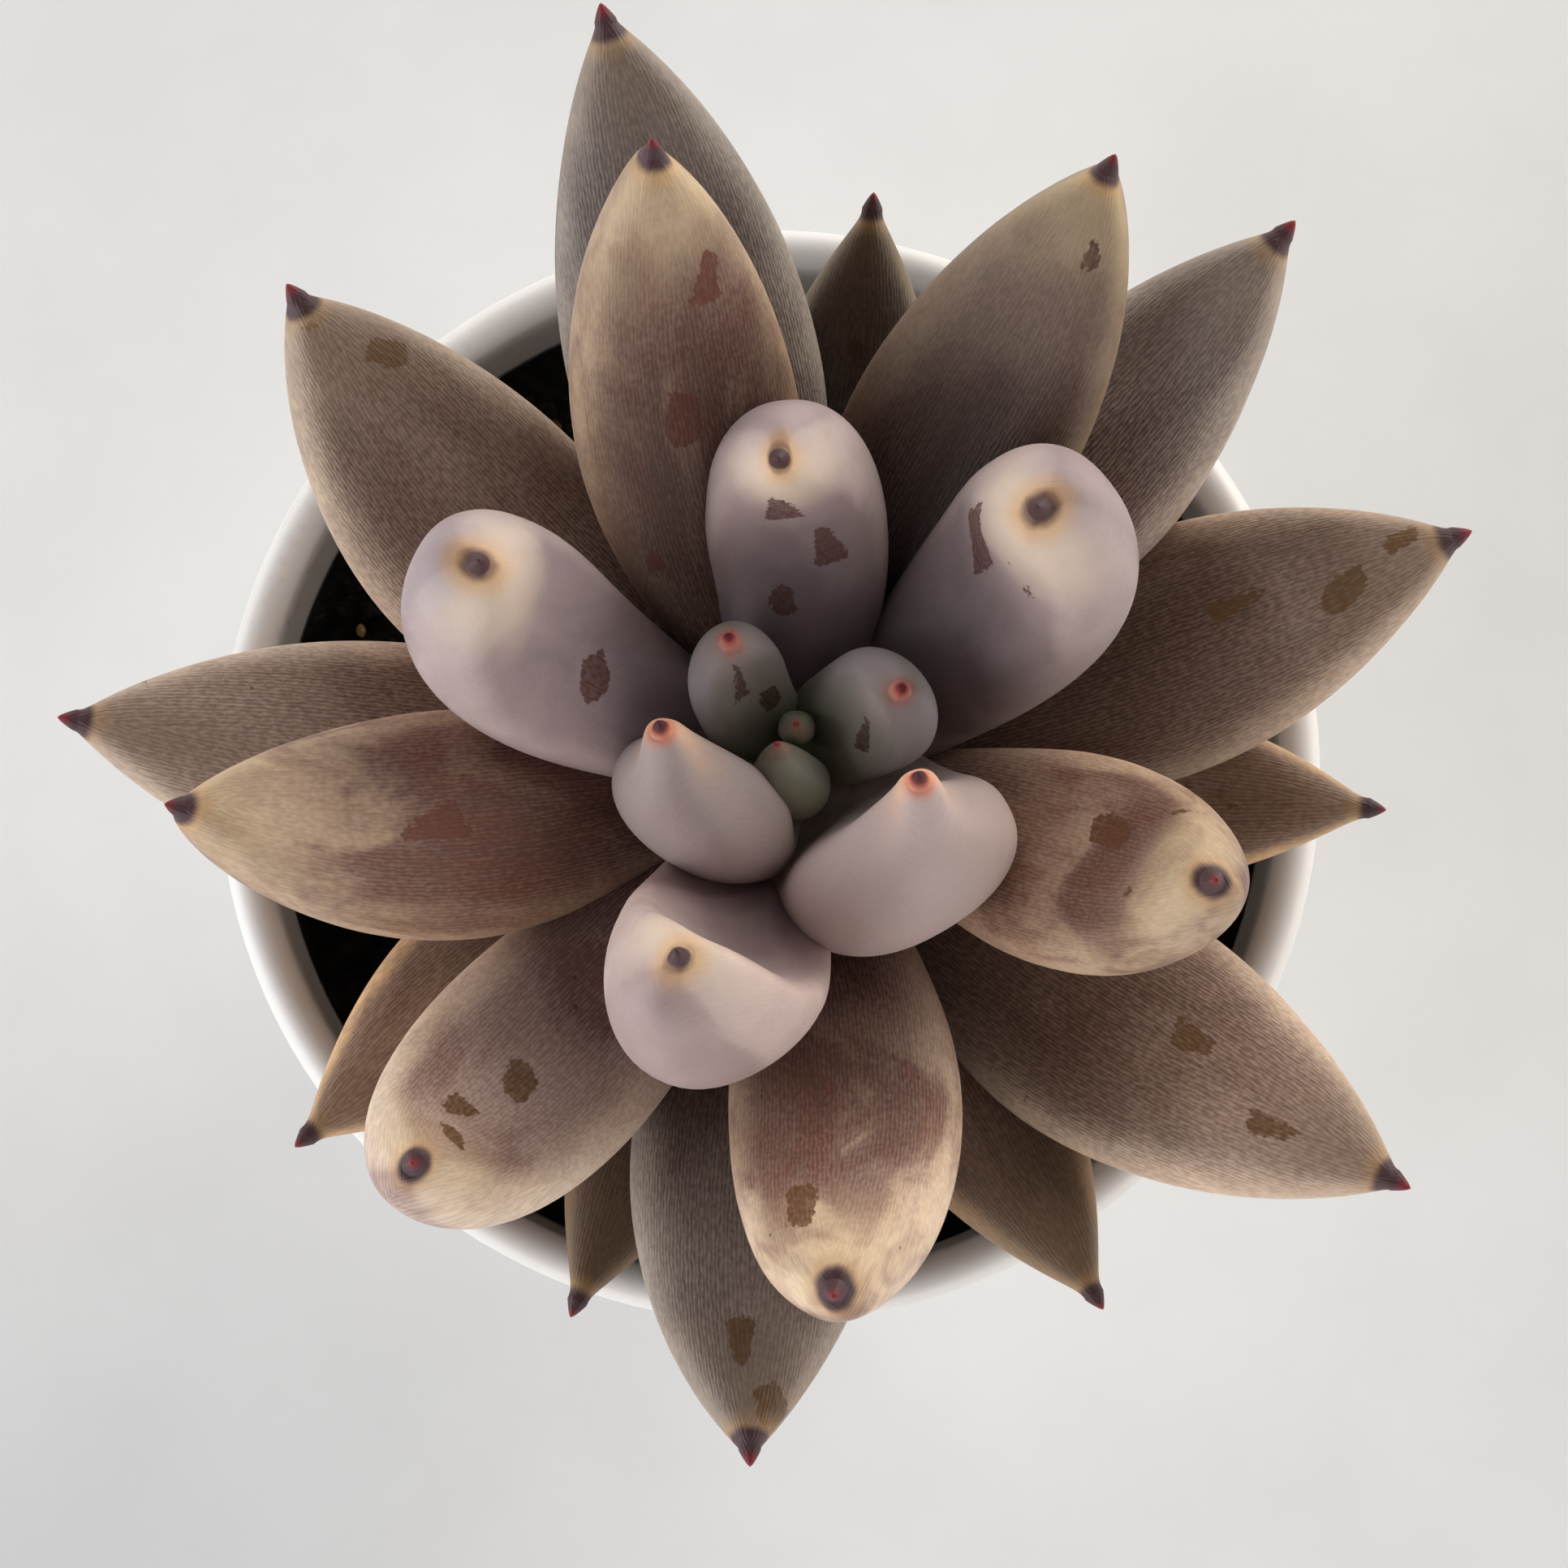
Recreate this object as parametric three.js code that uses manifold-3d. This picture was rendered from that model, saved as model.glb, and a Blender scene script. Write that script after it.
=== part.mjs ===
// A potted Echeveria unguiculata: a rosette of 29 thick clawed leaves on a short stem,
// in dark soil in a plain white pot with a rolled rim.
// Millimetres, +Z up. The origin is the centre of the pot's flat underside.

import * as THREE from "three";
import { mergeVertices } from "three/addons/utils/BufferGeometryUtils.js";
import Module from "manifold-3d";

const wasm = await Module();
wasm.setup();

// Clearance between pieces that touch, and the distance at which two corners are one
const GAP = 0.3;
const MERGE = 1e-4;

// Pot
const POT_HEIGHT = 78;
const RIM_RADIUS = 45.5; // outer edge of the rolled rim
const RIM_WIDTH = 3.4; // across the roll, from its outer to its inner edge
const RIM_DROP = 5; // height of the roll's outer side
const RIM_CHAMFER = 0.5; // on the roll's lower outer edge
const WALL = 1.8;
const COLLAR_HEIGHT = 12; // the straight stretch of wall under the rim's top
const FOOT_RADIUS = 31; // outside of the wall at the table
const FOOT_ROUND = 1.5; // rounding where the wall meets the table
const WALL_SWELL = 0.8; // how much the wall bulges between collar and foot
const WALL_STEPS = 5;
const RIM_STEPS = 6;
const FLOOR = 3;
const POT_SIDES = 40;
const DRAIN_RADIUS = 3;
const DRAIN_CIRCLE = 17; // radius of the circle that the drain holes stand on
const DRAIN_COUNT = 5;
const DRAIN_SIDES = 16;

// Soil
const SOIL_TOP = POT_HEIGHT - 8;
const SOIL_RINGS = 6;
const SOIL_LUMPS = [
  { height: 0.5, x: 0.55, y: 0.48 },
  { height: 0.3, x: 0.35, y: -0.9 },
  { height: 0.2, x: -1.3, y: 0.7 },
]; // waves of the surface: height, and turns in radians for each millimetre along X and Y

// Stem: it stands a little off the pot's centre, with its foot in the soil
const STEM_X = 2;
const STEM_Y = -1;
const STEM_SIDES = 20;
const STEM_POINT = 0.8; // height of the growing point over the last of the profile
const STEM_PROFILE = [
  [4.6, 50],
  [5.2, 64],
  [5.8, 72],
  [5.8, 80],
  [4.4, 84.5],
  [2.6, 88],
  [1.4, 90],
]; // radius and height, from the foot to the growing point

// Leaves
const LEAF_SIDES = 12; // points round a leaf's section
const BUD_SIDES = 8; // and round one narrower than BUD_WIDTH
const BUD_WIDTH = 3;
const BASE_STATIONS = 4; // sections from the root to the widest place
const END_STATIONS = 6; // sections from there to the tip
const SWELL_POWER = 1.4; // how slowly a leaf widens as it leaves the stem
const ROOT_THICKNESS = 0.6; // thickness at the root, as a share of the full one
const OVER_POWER = 2.4; // form of a section's upper half: 2 is an ellipse, more is squarer
const UNDER_POWER = 2.3; // and of its lower half
const CUP_LEVEL = 0.35; // the square of the place across a cupped leaf that keeps its height
const KNOB_POWER = 0.5; // how roundly a knob closes to the tip
const ROOT_REACH = 1.5; // distance from the stem's axis at which a spine starts
const CLAW_LENGTH = 1.3;
const CLAW_RADIUS = 0.8;
const CLAW_SHARE = 0.13; // most that a claw's radius may be of its leaf's width
const CLAW_STEPS = [
  [0.35, 0.75],
  [0.7, 0.42],
]; // along the claw and across it, as shares

// Colour and roughness of what isn't a leaf, and the roughness of the leaves
const POT_FINISH = [0xe9e6e2, 0.35];
const SOIL_FINISH = [0x1b1714, 0.95];
const STEM_FINISH = [0x8a8462, 0.7];
const LEAF_ROUGHNESS = 0.6;

// What every leaf has unless its kind or its own row says otherwise: out is how long the spine
// keeps the way it left the stem, as a share of its span, share the part of the thickness that
// lies over the spine, fullness how much slower the thickness closes to the tip than the width,
// cup how far the sides of the leaf rise over its middle, in mm, and knob the radius in mm that
// a horn-shaped leaf keeps up to its round tip.
const PLAIN = { out: 0.42, share: 0.45, fullness: 0.5, cup: 0, knob: 0 };

// The kinds of leaf, from the bud outwards. neck is the width at the stem as a share of the
// full width, widest the place of the full width along the leaf, blunt the form of the end
// (0.5 is round, 1 a straight-sided point), pull how long the end keeps the way of its tip.
const KINDS = {
  bud: { neck: 0.8, widest: 0.45, blunt: 0.7, pull: 0.45, color: 0xb4bfa0 },
  inner: { neck: 0.5, widest: 0.5, blunt: 0.62, pull: 0.45, color: 0xb9b3b0 },
  middle: { neck: 0.5, widest: 0.6, blunt: 0.5, pull: 0.5, color: 0xcdb9b0 },
  upper: { neck: 0.36, widest: 0.52, blunt: 0.72, pull: 0.36, color: 0x9a7d6c },
  long: { neck: 0.32, widest: 0.52, blunt: 0.8, pull: 0.36, color: 0x83705f },
  lower: { neck: 0.32, widest: 0.52, blunt: 0.9, pull: 0.36, color: 0x6b5646 },
};

// What sets a leaf apart from its kind
const BUD_TIP = { neck: 0.7, cup: 0.3 };
const ROUND_OVAL = { neck: 0.95, widest: 0.5, blunt: 0.45, pull: 0.35 };
const FULL_OVAL = { neck: 0.9, widest: 0.55, blunt: 0.42, pull: 0.35, share: 0.5 };
const HORN = {
  neck: 0.8,
  widest: 0.45,
  blunt: 1.85,
  pull: 0.42,
  share: 0.5,
  cup: 0.6,
  knob: 2.4,
};
const WIDE_HORN = { ...HORN, out: 0.54 };
const FINGER = { neck: 0.7, widest: 0.46, blunt: 0.58 };
const SHORT_CURL = { pull: 0.42 };
const SPOON = { pull: 0.38, blunt: 0.5, share: 0.42, out: 0.37, cup: 3 };
const NARROW_END = { blunt: 0.7, cup: 0.6 };
const ROUND_END = { blunt: 0.6, cup: 0.6 };
const CHANNEL = { cup: 0.8 };

// A leaf: the way it leaves the stem and the height of its root, the point of its claw
// (x, y, z), the way the claw points, the way its back faces, its full width and thickness,
// and what sets it apart. Ways are a turn from +X and a rise, in degrees.
function row(name, [turn, rise, root], point, [endTurn, endRise], face, [width, thick], own) {
  const kind = KINDS[name.split("_")[0]];
  const size = { face, width, thick };
  return { ...PLAIN, ...kind, name, turn, rise, root, point, endTurn, endRise, ...size, ...own };
}

// Leaves further in come first, and keep their form where an outer one is pressed against them
const LEAVES = [
  row("bud_leaf_1", [85, 75, 88.8], [2.1, 0.2, 96.6], [90, 78], 85, [2.8, 2.4]),
  row("bud_leaf_2", [275, 45, 88.3], [0.7, -1.5, 98.3], [100, 65], 268, [5.8, 4.6], BUD_TIP),

  row("inner_leaf_1", [145, 55, 86.5], [-2.8, 5.8, 101.5], [100, 78], 118, [7.8, 5], ROUND_OVAL),
  row("inner_leaf_2", [28, 45, 86.5], [9.7, 2, 101.5], [35, 86], 38, [9.6, 6], FULL_OVAL),
  row("inner_leaf_3", [222, 0, 86], [-7.5, -1.3, 107], [108, 66], 258, [14.4, 9], HORN),
  row("inner_leaf_4", [308, 0, 85], [10.2, -5.5, 112], [103, 66], 288, [18, 10.5], WIDE_HORN),

  row("middle_leaf_1", [88, 20, 84], [0.8, 15.7, 113], [255, 72], 92, [14, 10.5], FINGER),
  row("middle_leaf_2", [29, 15, 83], [18, 11.9, 115], [205, 72], 38, [16, 11]),
  row("middle_leaf_3", [166, 20, 83], [-19, 8.3, 115], [0, 78], 155, [15, 10.5], SHORT_CURL),
  row("middle_leaf_4", [248, 0, 82], [-5.7, -17.6, 117], [105, 66], 240, [16, 10.5], SPOON),

  row("upper_leaf_1", [193, 10, 80], [-41, -7.3, 109], [172, 45], 193, [17.5, 9.5], CHANNEL),
  row("upper_leaf_2", [113, 28, 81], [-7.5, 35.8, 119], [92, 60], 113, [17, 9.5], CHANNEL),
  row("upper_leaf_3", [66, 18, 80], [24, 37.2, 113], [60, 50], 66, [17.5, 9.5], CHANNEL),
  row("upper_leaf_4", [338, 12, 80], [29.8, -12.8, 113], [338, 85], 338, [16.5, 9.5], ROUND_END),
  row("upper_leaf_5", [283, 8, 79], [4.4, -39.8, 113], [250, 75], 282, [17.5, 9.5], ROUND_END),
  row("upper_leaf_6", [233, 10, 79], [-23.6, -31.4, 109], [55, 82], 233, [18, 9.5], NARROW_END),

  row("long_leaf_1", [149, 8, 77], [-35, 31.5, 103], [126, 45], 148, [20.5, 9]),
  row("long_leaf_2", [14, 8, 77], [52, 14.2, 98.5], [18, 30], 14, [19.5, 9]),
  row("long_leaf_3", [267, 6, 76], [-1.2, -53.2, 97], [272, 35], 266, [20.5, 9]),
  row("long_leaf_4", [317, 6, 75], [46.4, -33.8, 96.5], [330, 30], 319, [20.5, 9]),
  row("long_leaf_5", [105, 24, 76], [-11.7, 49.1, 111], [108, 45], 105, [19.5, 9]),
  row("long_leaf_6", [181, 5, 75], [-53.2, 0.9, 94.5], [174, 30], 180, [19.5, 9]),
  row("long_leaf_7", [46, 12, 76], [38.2, 35.7, 104.5], [46, 40], 45, [17.5, 9]),

  row("lower_leaf_1", [82, 10, 75], [8.1, 41.6, 95], [85, 40], 82, [15, 7.5]),
  row("lower_leaf_2", [354, 6, 75], [48.2, -5.2, 86.5], [352, 20], 354, [15, 7]),
  row("lower_leaf_3", [213, 5, 75], [-36.3, -31.2, 86.5], [224, 25], 213, [16, 7]),
  row("lower_leaf_4", [247, 3, 75], [-15.2, -44.2, 84.5], [248, 20], 247, [14, 6.5]),
  row("lower_leaf_5", [297, 4, 75], [25.6, -43.5, 85.5], [300, 20], 297, [16, 7]),
  row("lower_leaf_6", [124, 4, 75], [-15, 31, 85], [118, 25], 124, [13, 6.5]),
];

// Helpers

const plant = new THREE.Group();

function addPiece(name, solid, [color, roughness]) {
  const material = new THREE.MeshStandardMaterial({ color, roughness, metalness: 0 });
  const mesh = new THREE.Mesh(geometryOf(solid), material);
  mesh.name = name;
  plant.add(mesh);
}

// A closed mesh as a solid that can be cut
function solidOf(geometry) {
  const bare = geometry.clone();
  bare.deleteAttribute("normal");
  bare.deleteAttribute("uv");
  const merged = mergeVertices(bare, MERGE);
  const vertProperties = new Float32Array(merged.attributes.position.array);
  const triVerts = new Uint32Array(merged.index.array);
  return new wasm.Manifold(new wasm.Mesh({ numProp: 3, vertProperties, triVerts }));
}

function geometryOf(solid) {
  const mesh = solid.getMesh();
  const geometry = new THREE.BufferGeometry();
  const corners = new Float32Array(mesh.vertProperties);
  geometry.setAttribute("position", new THREE.BufferAttribute(corners, 3));
  geometry.setIndex(new THREE.BufferAttribute(new Uint32Array(mesh.triVerts), 1));
  geometry.computeVertexNormals();
  return geometry;
}

function largestBody(solid) {
  return solid.decompose().sort((a, b) => b.volume() - a.volume())[0];
}

// A profile of [radius, height] pairs, from the bottom of the axis round to its top,
// turned round the Z axis
function turned(profile, sides) {
  const points = profile.map(([radius, height]) => new THREE.Vector2(radius, height));
  return new THREE.LatheGeometry(points, sides).rotateX(Math.PI / 2);
}

// Pot

const RIM_INNER = RIM_RADIUS - RIM_WIDTH;
const COLLAR_FOOT = POT_HEIGHT - COLLAR_HEIGHT;
const COLLAR_RADIUS = RIM_INNER + WALL;

// Outside radius of the wall at a height from 0 to COLLAR_FOOT
function wallRadius(height) {
  const share = height / COLLAR_FOOT;
  const swell = WALL_SWELL * Math.sin(Math.PI * share);
  return FOOT_RADIUS + (COLLAR_RADIUS - FOOT_RADIUS) * share + swell;
}

// The wall from one height up to the collar's foot, moved in by inset: [radius, height] pairs
function wallLine(from, inset) {
  const line = [];
  for (let i = 0; i < WALL_STEPS; i++) {
    const height = from + ((COLLAR_FOOT - from) * i) / WALL_STEPS;
    line.push([wallRadius(height) - inset, height]);
  }
  return line;
}

// The roll at the rim: an arc from its outer side over the top to its inner side
function rimArc() {
  const half = RIM_WIDTH / 2;
  const arc = [];
  for (let i = 0; i <= RIM_STEPS; i++) {
    const angle = (Math.PI * i) / RIM_STEPS;
    const radius = RIM_INNER + half + half * Math.cos(angle);
    arc.push([radius, POT_HEIGHT - half + half * Math.sin(angle)]);
  }
  return arc;
}

function potProfile() {
  const lip = POT_HEIGHT - RIM_DROP;
  const outside = [[0, 0], [FOOT_RADIUS - FOOT_ROUND, 0], ...wallLine(FOOT_ROUND, 0)];
  const collar = [[COLLAR_RADIUS, COLLAR_FOOT], [COLLAR_RADIUS, lip]];
  const roll = [[RIM_RADIUS - RIM_CHAMFER, lip], [RIM_RADIUS, lip + RIM_CHAMFER], ...rimArc()];
  const inside = [[RIM_INNER, COLLAR_FOOT], ...wallLine(FLOOR, WALL).reverse(), [0, FLOOR]];
  return [...outside, ...collar, ...roll, ...inside];
}

function potSolid() {
  let pot = solidOf(turned(potProfile(), POT_SIDES));
  for (let i = 0; i < DRAIN_COUNT; i++) {
    const angle = (2 * Math.PI * i) / DRAIN_COUNT;
    const drain = new THREE.CylinderGeometry(DRAIN_RADIUS, DRAIN_RADIUS, 3 * FLOOR, DRAIN_SIDES);
    drain.rotateX(Math.PI / 2);
    drain.translate(DRAIN_CIRCLE * Math.cos(angle), DRAIN_CIRCLE * Math.sin(angle), 0);
    pot = pot.subtract(solidOf(drain));
  }
  return pot;
}

// Stem and soil

// The stem, or with grow above 0 the space round it that the soil and the leaves stay out of
function stemSolid(grow) {
  const [footRadius, foot] = STEM_PROFILE[0];
  const top = STEM_PROFILE[STEM_PROFILE.length - 1][1] + STEM_POINT;
  const side = STEM_PROFILE.slice(1).map(([radius, height]) => [radius + grow, height]);
  const profile = [[0, foot - grow], [footRadius + grow, foot - grow], ...side, [0, top + grow]];
  return solidOf(turned(profile, STEM_SIDES).translate(STEM_X, STEM_Y, 0));
}

// Height of the soil's surface over SOIL_TOP at a place
function soilBump(x, y) {
  return SOIL_LUMPS.reduce((sum, lump) => sum + lump.height * Math.sin(lump.x * x + lump.y * y), 0);
}

function soilSolid() {
  const edge = RIM_INNER - GAP;
  const profile = [[0, FLOOR + GAP], ...wallLine(FLOOR + GAP, WALL + GAP), [edge, COLLAR_FOOT]];
  for (let i = 0; i <= SOIL_RINGS; i++) profile.push([edge * (1 - i / SOIL_RINGS), SOIL_TOP]);
  const geometry = turned(profile, POT_SIDES);
  const position = geometry.attributes.position;
  for (let i = 0; i < position.count; i++) {
    if (position.getZ(i) < SOIL_TOP - GAP) continue;
    position.setZ(i, SOIL_TOP + soilBump(position.getX(i), position.getY(i)));
  }
  return solidOf(geometry).subtract(stemSolid(GAP));
}

// Leaves

function direction(turn, rise) {
  const a = THREE.MathUtils.degToRad(turn);
  const e = THREE.MathUtils.degToRad(rise);
  return new THREE.Vector3(Math.cos(e) * Math.cos(a), Math.cos(e) * Math.sin(a), Math.sin(e));
}

// Places along a leaf, from 0 at the root to 1 at the claw, each with the shares of the full
// width, thickness and knob that the leaf has there
function stations({ neck, widest, blunt, fullness }) {
  const list = [];
  for (let i = 0; i < BASE_STATIONS; i++) {
    const share = i / BASE_STATIONS;
    const swell = Math.sin((Math.PI / 2) * share) ** SWELL_POWER;
    const thick = ROOT_THICKNESS + (1 - ROOT_THICKNESS) * swell;
    list.push({ at: widest * share, width: neck + (1 - neck) * swell, thick, round: 1 });
  }
  for (let i = 0; i <= END_STATIONS; i++) {
    const angle = (Math.PI / 2) * (i / END_STATIONS);
    const left = Math.max(Math.cos(angle), 0);
    const close = left ** (2 * blunt);
    const at = widest + (1 - widest) * Math.sin(angle);
    list.push({ at, width: close, thick: close ** fullness, round: left ** KNOB_POWER });
  }
  return list;
}

// The sections of a leaf: where each one is, the way the spine runs there, its half width,
// how far it reaches over and under the spine and how far its sides rise
function sections(leaf) {
  const claw = Math.min(CLAW_RADIUS, CLAW_SHARE * leaf.width);
  const clawLength = (CLAW_LENGTH * claw) / CLAW_RADIUS;
  const end = direction(leaf.endTurn, leaf.endRise);
  const point = new THREE.Vector3(...leaf.point);
  const tip = point.clone().addScaledVector(end, -clawLength);
  const start = new THREE.Vector3(STEM_X, STEM_Y, leaf.root);
  start.addScaledVector(direction(leaf.turn, 0), ROOT_REACH);
  const span = start.distanceTo(tip);
  const leaving = start.clone().addScaledVector(direction(leaf.turn, leaf.rise), leaf.out * span);
  const arriving = tip.clone().addScaledVector(end, -leaf.pull * span);
  const spine = new THREE.CubicBezierCurve3(start, leaving, arriving, tip);
  const joined = (size, knob) => Math.cbrt(size ** 3 + knob ** 3 + claw ** 3);
  const list = stations(leaf).map(({ at, width, thick, round }) => ({
    at,
    place: spine.getPoint(at),
    along: spine.getTangent(at),
    half: joined((leaf.width / 2) * width, leaf.knob * round),
    over: joined(leaf.thick * leaf.share * thick, leaf.knob * round),
    under: joined(leaf.thick * (1 - leaf.share) * thick, leaf.knob * round),
    cup: leaf.cup * width,
  }));
  for (const [reach, across] of CLAW_STEPS) {
    const place = tip.clone().addScaledVector(end, reach * clawLength);
    const size = claw * across;
    list.push({ at: 1, place, along: end, half: size, over: size, under: size, cup: 0 });
  }
  return { list, start, point, end };
}

// A cosine or sine, pressed out to the squarer section of a leaf
function pressed(value, power) {
  return Math.sign(value) * Math.abs(value) ** (2 / power);
}

// A leaf, or with grow above 0 the space round it that its neighbours stay out of
function leafSolid(leaf, grow) {
  const { list, start, point, end } = sections(leaf);
  const sides = leaf.width < BUD_WIDTH ? BUD_SIDES : LEAF_SIDES;
  const corners = [];
  for (const { at, place, along, half, over, under, cup } of list) {
    const side = direction(leaf.turn + (leaf.face - leaf.turn) * at + 90, 0);
    side.addScaledVector(along, -side.dot(along)).normalize();
    const up = along.clone().cross(side);
    if (at === 0) place.addScaledVector(along, -grow);
    for (let j = 0; j < sides; j++) {
      const angle = (2 * Math.PI * j) / sides;
      const [depth, power] = Math.sin(angle) > 0 ? [over, OVER_POWER] : [under, UNDER_POWER];
      const aside = pressed(Math.cos(angle), power);
      const across = (half + grow) * aside;
      const rise = (depth + grow) * pressed(Math.sin(angle), power);
      const height = rise + cup * (aside ** 2 - CUP_LEVEL);
      corners.push(place.clone().addScaledVector(side, across).addScaledVector(up, height));
    }
  }
  const root = corners.length;
  corners.push(start.clone().addScaledVector(list[0].along, -grow));
  corners.push(point.clone().addScaledVector(end, grow));
  const index = [];
  for (let j = 0; j < sides; j++) {
    const next = (j + 1) % sides;
    index.push(root, next, j);
    for (let ring = 0; ring + sides < root; ring += sides) {
      const [a, b, c, d] = [ring + j, ring + next, ring + sides + next, ring + sides + j];
      index.push(a, b, c, a, c, d);
    }
    index.push(root - sides + j, root - sides + next, root + 1);
  }
  const geometry = new THREE.BufferGeometry().setFromPoints(corners);
  geometry.setIndex(index);
  return solidOf(geometry);
}

// The plant in its pot

addPiece("pot", potSolid(), POT_FINISH);
addPiece("soil", soilSolid(), SOIL_FINISH);
addPiece("stem", stemSolid(0), STEM_FINISH);

const taken = [stemSolid(GAP)];
for (const leaf of LEAVES) {
  let solid = leafSolid(leaf, 0);
  for (const space of taken) solid = solid.subtract(space);
  addPiece(leaf.name, largestBody(solid), [leaf.color, LEAF_ROUGHNESS]);
  taken.push(leafSolid(leaf, GAP));
}

export default plant;
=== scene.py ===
# %% [markdown]
# # A potted Echeveria unguiculata
#
# The object is a rosette of 29 thick leaves, each ending in a dark cap and a small red claw. It
# grows on a short stem in black soil, in a plain white pot with a rolled rim. We load the solids
# of the part as a fixed frame, and then dress each of them with a finer piece and its own finish.

# %% Load the fixed frame
import math

import bmesh
import bpy
import numpy as np
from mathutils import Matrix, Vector


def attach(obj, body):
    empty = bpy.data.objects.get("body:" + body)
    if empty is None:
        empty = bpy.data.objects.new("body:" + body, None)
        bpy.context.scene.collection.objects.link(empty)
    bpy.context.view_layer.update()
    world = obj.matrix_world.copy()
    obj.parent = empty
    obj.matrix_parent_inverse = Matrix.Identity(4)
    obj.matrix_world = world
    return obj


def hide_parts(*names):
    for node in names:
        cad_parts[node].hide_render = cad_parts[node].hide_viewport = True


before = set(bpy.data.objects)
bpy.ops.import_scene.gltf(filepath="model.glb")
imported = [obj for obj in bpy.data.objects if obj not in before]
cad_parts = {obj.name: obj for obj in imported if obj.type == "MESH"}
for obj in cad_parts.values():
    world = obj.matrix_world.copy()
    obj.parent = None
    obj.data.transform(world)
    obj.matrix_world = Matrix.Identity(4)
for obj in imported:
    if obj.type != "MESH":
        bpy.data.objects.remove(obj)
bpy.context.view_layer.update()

MM = 0.001  # every size below is in millimetres, and Blender counts in metres

# %% [markdown]
# ## Camera
#
# The picture was taken by hand from almost straight above. A camera that looks 7 degrees past
# straight down, 26 cm over the table, puts the rim of the pot and every claw where they are in
# the picture. A longer lens from further away would flatten the tall inner leaves, which look
# large because they are near the camera.

# %% Place the camera
CAMERA_PLACE = (1.2, -24.8, 262.7)
CAMERA_TILT = 7  # degrees from straight down
SENSOR_WIDTH = 36
LENS = SENSOR_WIDTH * 2800 / 1932  # the lens that spans the picture's 1932 pixels

eye = bpy.data.objects.new("eye", bpy.data.cameras.new("eye"))
bpy.context.scene.collection.objects.link(eye)
eye.location = [side * MM for side in CAMERA_PLACE]
eye.rotation_euler = (math.radians(CAMERA_TILT), 0, 0)
eye.data.sensor_width = SENSOR_WIDTH
eye.data.lens = LENS
eye.data.clip_start = 0.01
bpy.context.scene.camera = eye
print("lens in mm:", round(LENS, 2))

# %% [markdown]
# ## Helpers for modelling by hand
#
# Each operator acts on whatever is selected, so every step starts from an empty selection. These
# few helpers do what a hand does in the viewport: let go of everything, step into edit mode, and
# pick faces, edges or points by where they are.

# %% Helpers for modelling
def let_go():
    """Leaves edit mode and selects nothing."""
    if bpy.context.object and bpy.context.object.mode != "OBJECT":
        bpy.ops.object.mode_set(mode="OBJECT")
    bpy.ops.object.select_all(action="DESELECT")


def take_up(piece):
    """Makes one piece the selected, active object."""
    let_go()
    piece.select_set(True)
    bpy.context.view_layer.objects.active = piece


def open_edit(piece):
    """Steps into edit mode with nothing picked."""
    take_up(piece)
    bpy.ops.object.mode_set(mode="EDIT")
    bpy.ops.mesh.select_all(action="DESELECT")


def pick(piece, kind, wanted):
    """In edit mode, picks the faces, edges or verts for which wanted(element) is true."""
    bpy.ops.mesh.select_all(action="DESELECT")
    bpy.ops.mesh.select_mode(type={"verts": "VERT", "edges": "EDGE", "faces": "FACE"}[kind])
    shape = bmesh.from_edit_mesh(piece.data)
    for element in getattr(shape, kind):
        element.select = wanted(element)
    shape.select_flush_mode()
    bmesh.update_edit_mesh(piece.data)


def named(name):
    """The object that the last operator added, under its own name."""
    piece = bpy.context.object
    piece.name = name
    piece.data.name = name
    return piece


def finish_shape(piece, angle=None):
    """Leaves edit mode and shades smooth, up to an angle in degrees where one is given."""
    take_up(piece)
    if angle is None:
        bpy.ops.object.shade_smooth()
    else:
        bpy.ops.object.shade_smooth_by_angle(angle=math.radians(angle))
    bpy.ops.object.select_all(action="DESELECT")


def count(piece):
    """Triangles of a piece."""
    return sum(len(face.vertices) - 2 for face in piece.data.polygons)


def in_metres(*sides):
    return tuple(side * MM for side in sides)


# %% [markdown]
# ## Helpers for finishes
#
# A finish is a small tree of nodes. What several finishes share, such as grain or dust, is built
# once as a node group, which gives out only masks and heights. The shader itself stays in each
# material, where its plain numbers are set on its own sockets.

# %% Helpers for nodes
def feed(tree, socket, value):
    """Links a socket to another one, or sets its number or vector."""
    if isinstance(value, bpy.types.NodeSocket):
        tree.links.new(value, socket)
    else:
        socket.default_value = value


def node(tree, kind, inputs=None, **settings):
    """A node with its settings, and with its inputs linked to sockets or set to values."""
    made = tree.nodes.new(kind)
    made.location = (180 * (len(tree.nodes) % 12), -220 * (len(tree.nodes) // 12))
    for key, value in settings.items():
        setattr(made, key, value)
    for socket, value in (inputs or {}).items():
        feed(tree, made.inputs[socket], value)
    return made


def sums(tree, operation, *values, clamp=False):
    """A Math node: its operation on one, two or three sockets or numbers."""
    inputs = dict(enumerate(values))
    return node(tree, "ShaderNodeMath", inputs, operation=operation, use_clamp=clamp).outputs[0]


def chained(tree, operation, values, clamp):
    """One Math node after another over two or more sockets or numbers, the last one clamped or not."""
    made = values[0]
    for value in values[1:-1]:
        made = sums(tree, operation, made, value)
    return sums(tree, operation, made, values[-1], clamp=clamp)


def times(tree, *values, clamp=False):
    """The product of sockets and numbers."""
    return chained(tree, "MULTIPLY", values, clamp)


def plus(tree, *values, clamp=False):
    """The sum of sockets and numbers."""
    return chained(tree, "ADD", values, clamp)


def spread(tree, value, low, high, to_low=0.0, to_high=1.0, smooth=True):
    """Maps low..high onto to_low..to_high, with soft ends."""
    inputs = {"Value": value, "From Min": low, "From Max": high, "To Min": to_low, "To Max": to_high}
    kind = "SMOOTHSTEP" if smooth else "LINEAR"
    return node(tree, "ShaderNodeMapRange", inputs, interpolation_type=kind).outputs["Result"]


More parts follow.
